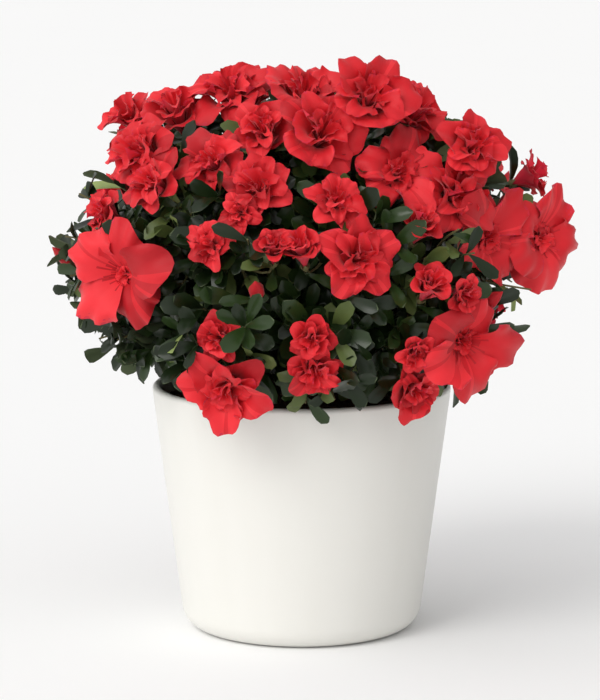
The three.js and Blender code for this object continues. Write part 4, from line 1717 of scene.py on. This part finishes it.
@dataclass
class Soil:
    """Crumbly peat: a lumpy surface over a plug, with loose crumbs lying on it.

    The plug's flat underside ends at `bottom_gap` from the wall as it is at the height `gap_at`. From
    there the plug widens to its shoulder, which lies in from the edge and down from the top.
    """

    vessel: Vessel
    sides: int = 120
    rings: int = 44
    play: float = 0.4
    pole: float = 0.5
    edge_round: float = 1.0
    hole: float = 0.6
    floor_gap: float = 0.3
    gap_at: float = 20
    bottom_gap: float = 6
    shoulder: tuple[float, float] = (0.6, 8)
    lump: float = 1.1
    smooth_to: float = 8
    settled: float = 0.6
    crumbs: int = 900
    crumb_radius: float = 1.5
    crumb_least: float = 0.4
    crumb_warp: float = 0.35
    crumb_sunk: float = 0.3
    crumb_margin: float = 2.5

    def _lumps(self, x: Array, y: Array) -> Array:
        """Height of the lumps: crossed waves of two lengths, none of them in step.

        Args:
            x: how far right each point lies.
            y: how far back.

        Returns:
            The height at each point: the lump times half the sum of two products of sines.
        """
        coarse = np.sin(0.21 * x + 1.3 * np.sin(0.13 * y)) * np.sin(0.19 * y + 1.1 * np.sin(0.17 * x))
        fine = np.sin(0.83 * x + 2.0 * np.sin(0.41 * y)) * np.sin(0.77 * y + 1.7 * np.sin(0.47 * x))
        return self.lump * (0.5 * coarse + 0.5 * fine)

    def build(self, palette: Palette) -> bpy.types.Object:
        """Makes the soil: a turned plug whose top is moved by the lumps, and the crumbs on it.

        Args:
            palette: the materials.

        Returns:
            The soil.
        """
        pot = self.vessel
        edge = pot.radius(pot.soil_top) - pot.wall - self.play
        inner = np.linspace(edge - self.edge_round, self.hole, self.rings)
        mound = pot.soil_top + pot.soil_rise * (1 - inner / edge)
        bottom = pot.floor + self.floor_gap
        plug = [
            [self.pole, bottom],
            [pot.radius(self.gap_at) - pot.wall - self.bottom_gap, bottom],
            [edge - self.shoulder[0], pot.soil_top - self.shoulder[1]],
            [edge, pot.soil_top - self.edge_round],
        ]
        profile = np.concatenate([plug, np.stack([inner, mound], -1)])
        corners = turned_corners(profile, self.sides).reshape(len(profile), self.sides, 3)
        top = corners[len(plug) :]
        fade = np.clip(np.hypot(top[..., 0], top[..., 1]) / self.smooth_to, 0, 1)
        top[..., 2] += self._lumps(top[..., 0], top[..., 1]) * fade - self.settled
        builder = MeshBuilder()
        builder.add(corners.reshape(1, -1, 3), tube_faces(len(profile), self.sides), (0, 0))
        builder.add(*self._crumbs(edge))
        return builder.build("soil_peat", [palette[Paint.PEAT]])

    def _crumbs(self, edge: float) -> tuple[Array, tuple[Array], tuple[int]]:
        """Loose crumbs: small eight-faced lumps of uneven size, scattered over the mound.

        Args:
            edge: the soil's radius.

        Returns:
            Their corners, the faces of one, and its material's number.
        """
        k = np.arange(self.crumbs)
        radius = (edge - self.crumb_margin) * np.sqrt(chance(0, k, Use.CRUMB))
        angle = 2 * math.pi * chance(0, k, Use.CRUMB + 1)
        x, y = radius * np.cos(angle), radius * np.sin(angle)
        mound = self.vessel.soil_top + self.vessel.soil_rise * (1 - radius / edge)
        z = mound + self._lumps(x, y) - self.crumb_sunk
        points = np.array([[1, 0, 0], [0, 1, 0], [-1, 0, 0], [0, -1, 0], [0, 0, 1], [0, 0, -1]], float)
        sizes = self.crumb_radius * (self.crumb_least + chance(0, k, Use.CRUMB + 2)[:, None, None])
        corner, axis = np.arange(len(points))[None, :, None], np.arange(3)
        warp = 1 + self.crumb_warp * spread(corner, k[:, None, None], Use.CRUMB + 3 + axis)
        corners = points[None] * sizes * warp + np.stack([x, y, z], -1)[:, None]
        upper = np.array([[0, 1, 4], [1, 2, 4], [2, 3, 4], [3, 0, 4]])
        lower = np.array([[1, 0, 5], [2, 1, 5], [3, 2, 5], [0, 3, 5]])
        return corners, (np.concatenate([upper, lower]),), (0,)


# ------------------------------------------------------------------ studio


@dataclass
class Studio:
    """A pale floor, soft light from the front left, and the camera."""

    distance: float = 2200
    elevation: float = 9.5
    target: tuple[float, float, float] = (-1, 0, 168)
    view_height: float = 420
    sensor: float = 36
    floor_size: float = 60000
    floor_drop: float = 0.05
    sun_at: tuple[float, float] = (-38, 38)
    sun_distance: float = 3000
    sun_strength: float = 1.0
    sun_width: float = 30
    sun_colour: Colour = (1.0, 0.985, 0.96)
    bright_side: tuple[float, float] = (-55, 25)
    dome: tuple[float, float] = (0.0, 1.25)

    def build(self, palette: Palette) -> None:
        """Makes the floor, the lights and the camera.

        Args:
            palette: the materials.
        """
        self._floor(palette)
        self._sun()
        bpy.context.scene.world = self._dome()
        bpy.context.scene.view_settings.view_transform = "Standard"
        self._camera()

    def _dome(self) -> bpy.types.World:
        """Makes the soft light all round.

        Returns:
            The world. Its strength runs evenly between two values with the cosine of the angle from the
            bright side.
        """
        world = bpy.data.worlds.new("studio")
        world.use_nodes = True
        nodes, links = world.node_tree.nodes, world.node_tree.links
        place, slope = nodes.new("ShaderNodeTexCoord"), nodes.new("ShaderNodeVectorMath")
        fade = nodes.new("ShaderNodeMapRange")
        slope.operation = "DOT_PRODUCT"
        slope.inputs[1].default_value = heading(*self.bright_side)
        fade.inputs["From Min"].default_value = -1
        fade.inputs["To Min"].default_value, fade.inputs["To Max"].default_value = self.dome
        links.new(place.outputs["Generated"], slope.inputs[0])
        links.new(slope.outputs["Value"], fade.inputs["Value"])
        links.new(fade.outputs["Result"], nodes["Background"].inputs["Strength"])
        nodes["Background"].inputs["Color"].default_value = (1, 1, 1, 1)
        return world

    def _floor(self, palette: Palette) -> None:
        """Makes the floor: one large level sheet just under the pot.

        Args:
            palette: the materials.
        """
        half = self.floor_size / 2
        low = -self.floor_drop
        square = [[-half, -half, low], [half, -half, low], [half, half, low], [-half, half, low]]
        builder = MeshBuilder()
        builder.add(np.array([square]), (np.array([[0, 1, 2, 3]]),), (0,))
        builder.build("floor", [palette[Paint.FLOOR]], smooth=False)

    def _sun(self) -> None:
        """Makes the key light: far off, and broad, which softens its shadows."""
        data = bpy.data.lights.new("key", "SUN")
        data.energy, data.color = self.sun_strength, self.sun_colour
        data.angle = math.radians(self.sun_width)
        light = bpy.data.objects.new("key", data)
        bpy.context.scene.collection.objects.link(light)
        self._aim(light, self.sun_distance * heading(*self.sun_at), np.zeros(3))

    @staticmethod
    def _aim(thing: bpy.types.Object, place: Array, target: Array) -> None:
        """Puts a light or a camera at a place, looking at a target, upright.

        Args:
            thing: the light or the camera.
            place: where it stands.
            target: what it looks at.
        """
        back = unit(place - target)
        right = unit(np.cross(UP, back))
        matrix = np.eye(4)
        matrix[:3, 0], matrix[:3, 1], matrix[:3, 2] = right, np.cross(back, right), back
        matrix[:3, 3] = place * MM
        thing.matrix_world = Matrix(matrix.tolist())

    def _camera(self) -> None:
        """Makes the camera, a long lens whose view is view_height tall at the plant's distance."""
        data = bpy.data.cameras.new("camera")
        data.sensor_width = self.sensor
        data.lens = self.sensor * self.distance / self.view_height
        camera = bpy.data.objects.new("camera", data)
        bpy.context.scene.collection.objects.link(camera)
        target = np.array(self.target, float)
        place = target + self.distance * heading(0, self.elevation)
        self._aim(camera, place, target)
        bpy.context.scene.camera = camera


# ------------------------------------------------------------------ the whole plant


def ride_all(pieces: Iterable[bpy.types.Object]) -> None:
    """Makes pieces ride with the plant's one body, and logs each one's faces.

    Args:
        pieces: the pieces.
    """
    for piece in pieces:
        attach(piece, "root")
        log.info("%s: %d faces", piece.name, len(piece.data.polygons))


def main() -> None:
    """Loads the frame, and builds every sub-assembly in order."""
    logging.basicConfig(level=logging.INFO, format="%(name)s %(message)s")
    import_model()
    palette = Palette()
    vessel = Vessel()
    plan = Plan(Crown(), vessel)

    pot = Pot(vessel).build(palette)
    ride_all([pot])
    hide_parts("pot")
    soil = Soil(vessel).build(palette)
    ride_all([soil])
    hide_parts("soil")

    skeleton = Skeleton(plan)
    limbs = skeleton.build(palette)
    ride_all([limbs])
    boughs = [f"bough_{mass.label}" for mass in plan.masses if mass.tier is not Tier.TOP]
    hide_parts("trunk", *boughs)

    growth = Growth(plan, skeleton)
    blossom = Blossom(plan, growth)
    growth.prune(blossom.hides)
    ride_all([Twigs(growth).build(palette)])
    ride_all(blossom.build(palette))
    ride_all(Foliage(plan, growth, blossom).build(palette))

    Studio().build(palette)


if __name__ == "__main__":
    main()
